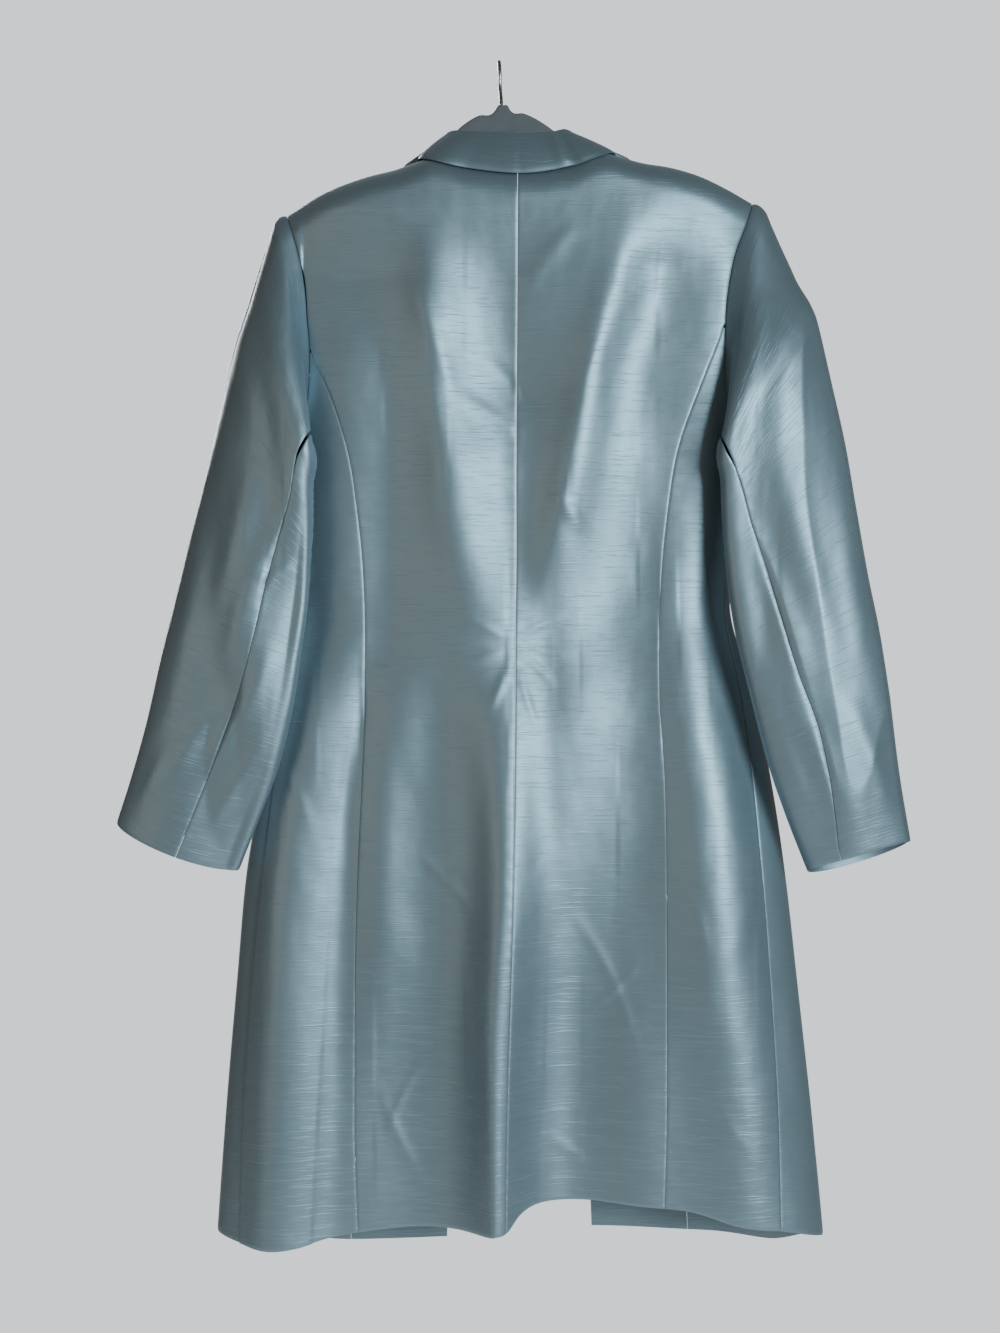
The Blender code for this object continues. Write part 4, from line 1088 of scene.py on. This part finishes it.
def collar():
    curve = columns_of(COLLAR)
    outer, inner, fall = [], [], []
    numbers = np.linspace(0, len(COLLAR) - 1, 211)
    for k in numbers:
        at = {name: float(c(k)) for name, c in curve.items()}
        path = unit(np.array([curve[f"roll_{axis}"](k + 0.05) - curve[f"roll_{axis}"](k - 0.05) for axis in "xyz"]))
        profile, facing = collar_profile(at, path)
        down = lengths(profile) / lengths(profile)[-1]
        buckle = sum(height * bell((k - place) / width) for place, width, height in BUCKLES)
        rise = buckle * clamp((down - 0.42) * 4) * np.clip((1.06 - down) * 6, 0.2, 1.0)
        profile = profile + facing * rise[:, None]
        roll = COLLAR_EDGE_ROLL * bell((1 - down) * COLLAR_FALL / 1.6)
        outer.append(profile + facing * (COLLAR_WALL / 2 - roll)[:, None])
        inner.append(profile - facing * COLLAR_WALL / 2)
        fall.append(down)
    outer, inner = np.array(outer), np.array(inner)
    along = np.cumsum(np.concatenate(([0], np.linalg.norm(np.diff(outer[:, 10], axis=0), axis=-1))))
    grid = outer.shape[:2]
    flat = np.stack((np.broadcast_to(along[:, None], grid), np.array(fall) * COLLAR_CLOTH, np.full(grid, 6.0)), -1)
    piece = wall("collar_cloth", outer, inner, flat.reshape(-1, 3) * (MM, MM, 1), SILK, flip=False)
    hung(piece, "collar")


collar()

# %% [markdown]
# ## Lapels
#
# Below the collar each front turns back on itself as a lapel, down to the break at the waist. It is a sheet that lies
# on the front and rolls round the front's edge, so its inner columns curl.

# %% Lapels
LapelRow = namedtuple("LapelRow", "number roll_z outer_z width")
LAPEL = table(
    LapelRow,
    (0, -155, -180, 70), (1, -180, -199, 75), (2, -215, -226, 72), (3, -260, -266, 63),
    (4, -310, -313, 51), (5, -360, -361, 37), (6, -410, -410, 21), (7, -445, -445, 9),
    (8, -468, -468, 3),
)

LAPEL_TURN, LAPEL_OFF_COAT, LAPEL_FULLNESS, LAPEL_EDGE_ROLL = 1.2, 0.7, 1.8, 0.6


def lapel(half, number):
    curve = columns_of(LAPEL)
    skin, below, flat = [], [], []
    shares = np.concatenate(((0, 0.006, 0.015, 0.03, 0.055), np.linspace(0.09, 0.95, 22), (0.975, 0.99, 1.0)))
    for k in np.linspace(0, len(LAPEL) - 1, 90):
        roll_z, outer_z, width = (float(curve[name](k)) for name in ("roll_z", "outer_z", "width"))
        z = roll_z + (outer_z - roll_z) * shares
        x = half.width["front_edge"](z) + half.sign * (width * shares - LAPEL_TURN)
        lift = LAPEL_OFF_COAT + LAPEL_FULLNESS * np.sin(np.pi * shares) * min(1.0, width / 40)
        ends = bell(width * shares / 1.6) + bell(width * (1 - shares) / 1.4)
        skin.append(lying(half, x, z, True, lift + CLOTH_WALL - LAPEL_EDGE_ROLL * np.minimum(ends, 1.0)))
        below.append(lying(half, x, z, True, lift))
        flat.append(np.stack((width * shares * MM, -z * MM, np.full_like(z, 0.53 * number)), axis=-1))
    outer, inner = np.array(skin), np.array(below)
    piece = wall(f"lapel_{half.name}_cloth", outer, inner, np.array(flat).reshape(-1, 3), SILK, flip=half.sign < 0)
    hung(piece, f"lapel_{half.name}")


lapel(LEFT, 17)
lapel(RIGHT, 19)

# %% [markdown]
# ## Floor and light
#
# The coat hangs in a pale room with one big window to the right of the viewer, so silk that faces right is bright and
# silk that faces left is dark. One large cool area light stands for the window, a weak warm one for the room, and one
# behind the coat lights its front. The sky is pale where the camera sees it, and dim as a light, because white light
# from everywhere would flatten the folds.

# %% Floor, sky and lamps
def plain_finish(name, colour):
    finish = Finish(name, Roughness=0.9, Emission_Color=(0.9, 0.92, 0.94, 1.0), Emission_Strength=0.45)
    at = finish.node("ShaderNodeTexCoord", output="Object")
    speckle = finish.noise(at, (9.0, 9.0, 9.0), 3.0)
    finish.show(Base_Color=finish.mix(speckle, colour, tuple(c * 0.96 for c in colour)))
    return finish.material


def floor(half_width=1.4, level=-1.62):
    mesh = bpy.data.meshes.new("floor")
    corners = [(-half_width, -half_width, level), (half_width, -half_width, level)]
    corners += [(half_width, half_width, level), (-half_width, half_width, level)]
    mesh.from_pydata(corners, [], [(0, 1, 2, 3)])
    mesh.materials.append(plain_finish("pale_floor", (0.74, 0.74, 0.73)))
    made = shown("floor", mesh)


def lamp(name, place, aim, size, power, colour):
    data = bpy.data.lights.new(name, "AREA")
    data.shape, data.size, data.energy, data.color = "DISK", size, power, colour
    made = shown(name, data)
    made.location = place
    away = np.array(place, float) - np.array(aim, float)
    flat = math.hypot(away[0], away[1])
    made.rotation_euler = (math.atan2(flat, away[2]), 0, math.atan2(away[0], -away[1]))
    print(name, power, "W")


def sky():
    world = bpy.data.worlds.new("pale_room")
    bpy.context.scene.world = world
    world.use_nodes = True
    nodes, links = world.node_tree.nodes, world.node_tree.links
    seen, light = nodes["Background"], nodes.new("ShaderNodeBackground")
    seen.inputs["Color"].default_value = (1.08, 1.15, 1.21, 1.0)
    light.inputs["Color"].default_value = (0.90, 0.76, 0.65, 1.0)
    light.inputs["Strength"].default_value = 0.17
    rays, mixed = nodes.new("ShaderNodeLightPath"), nodes.new("ShaderNodeMixShader")
    links.new(rays.outputs["Is Camera Ray"], mixed.inputs[0])
    links.new(light.outputs[0], mixed.inputs[1])
    links.new(seen.outputs[0], mixed.inputs[2])
    links.new(mixed.outputs[0], nodes["World Output"].inputs["Surface"])


floor()
sky()
lamp("window", (1.7, -2.7, -0.05), (0, 0, -0.55), 1.2, 118, (0.74, 0.91, 1.0))
lamp("room", (-1.6, -1.9, -0.3), (0, 0, -0.6), 1.6, 8, (1.0, 0.82, 0.66))
lamp("behind", (-1.0, 2.6, 0.3), (0, 0, -0.55), 1.6, 95, (0.95, 0.97, 1.0))
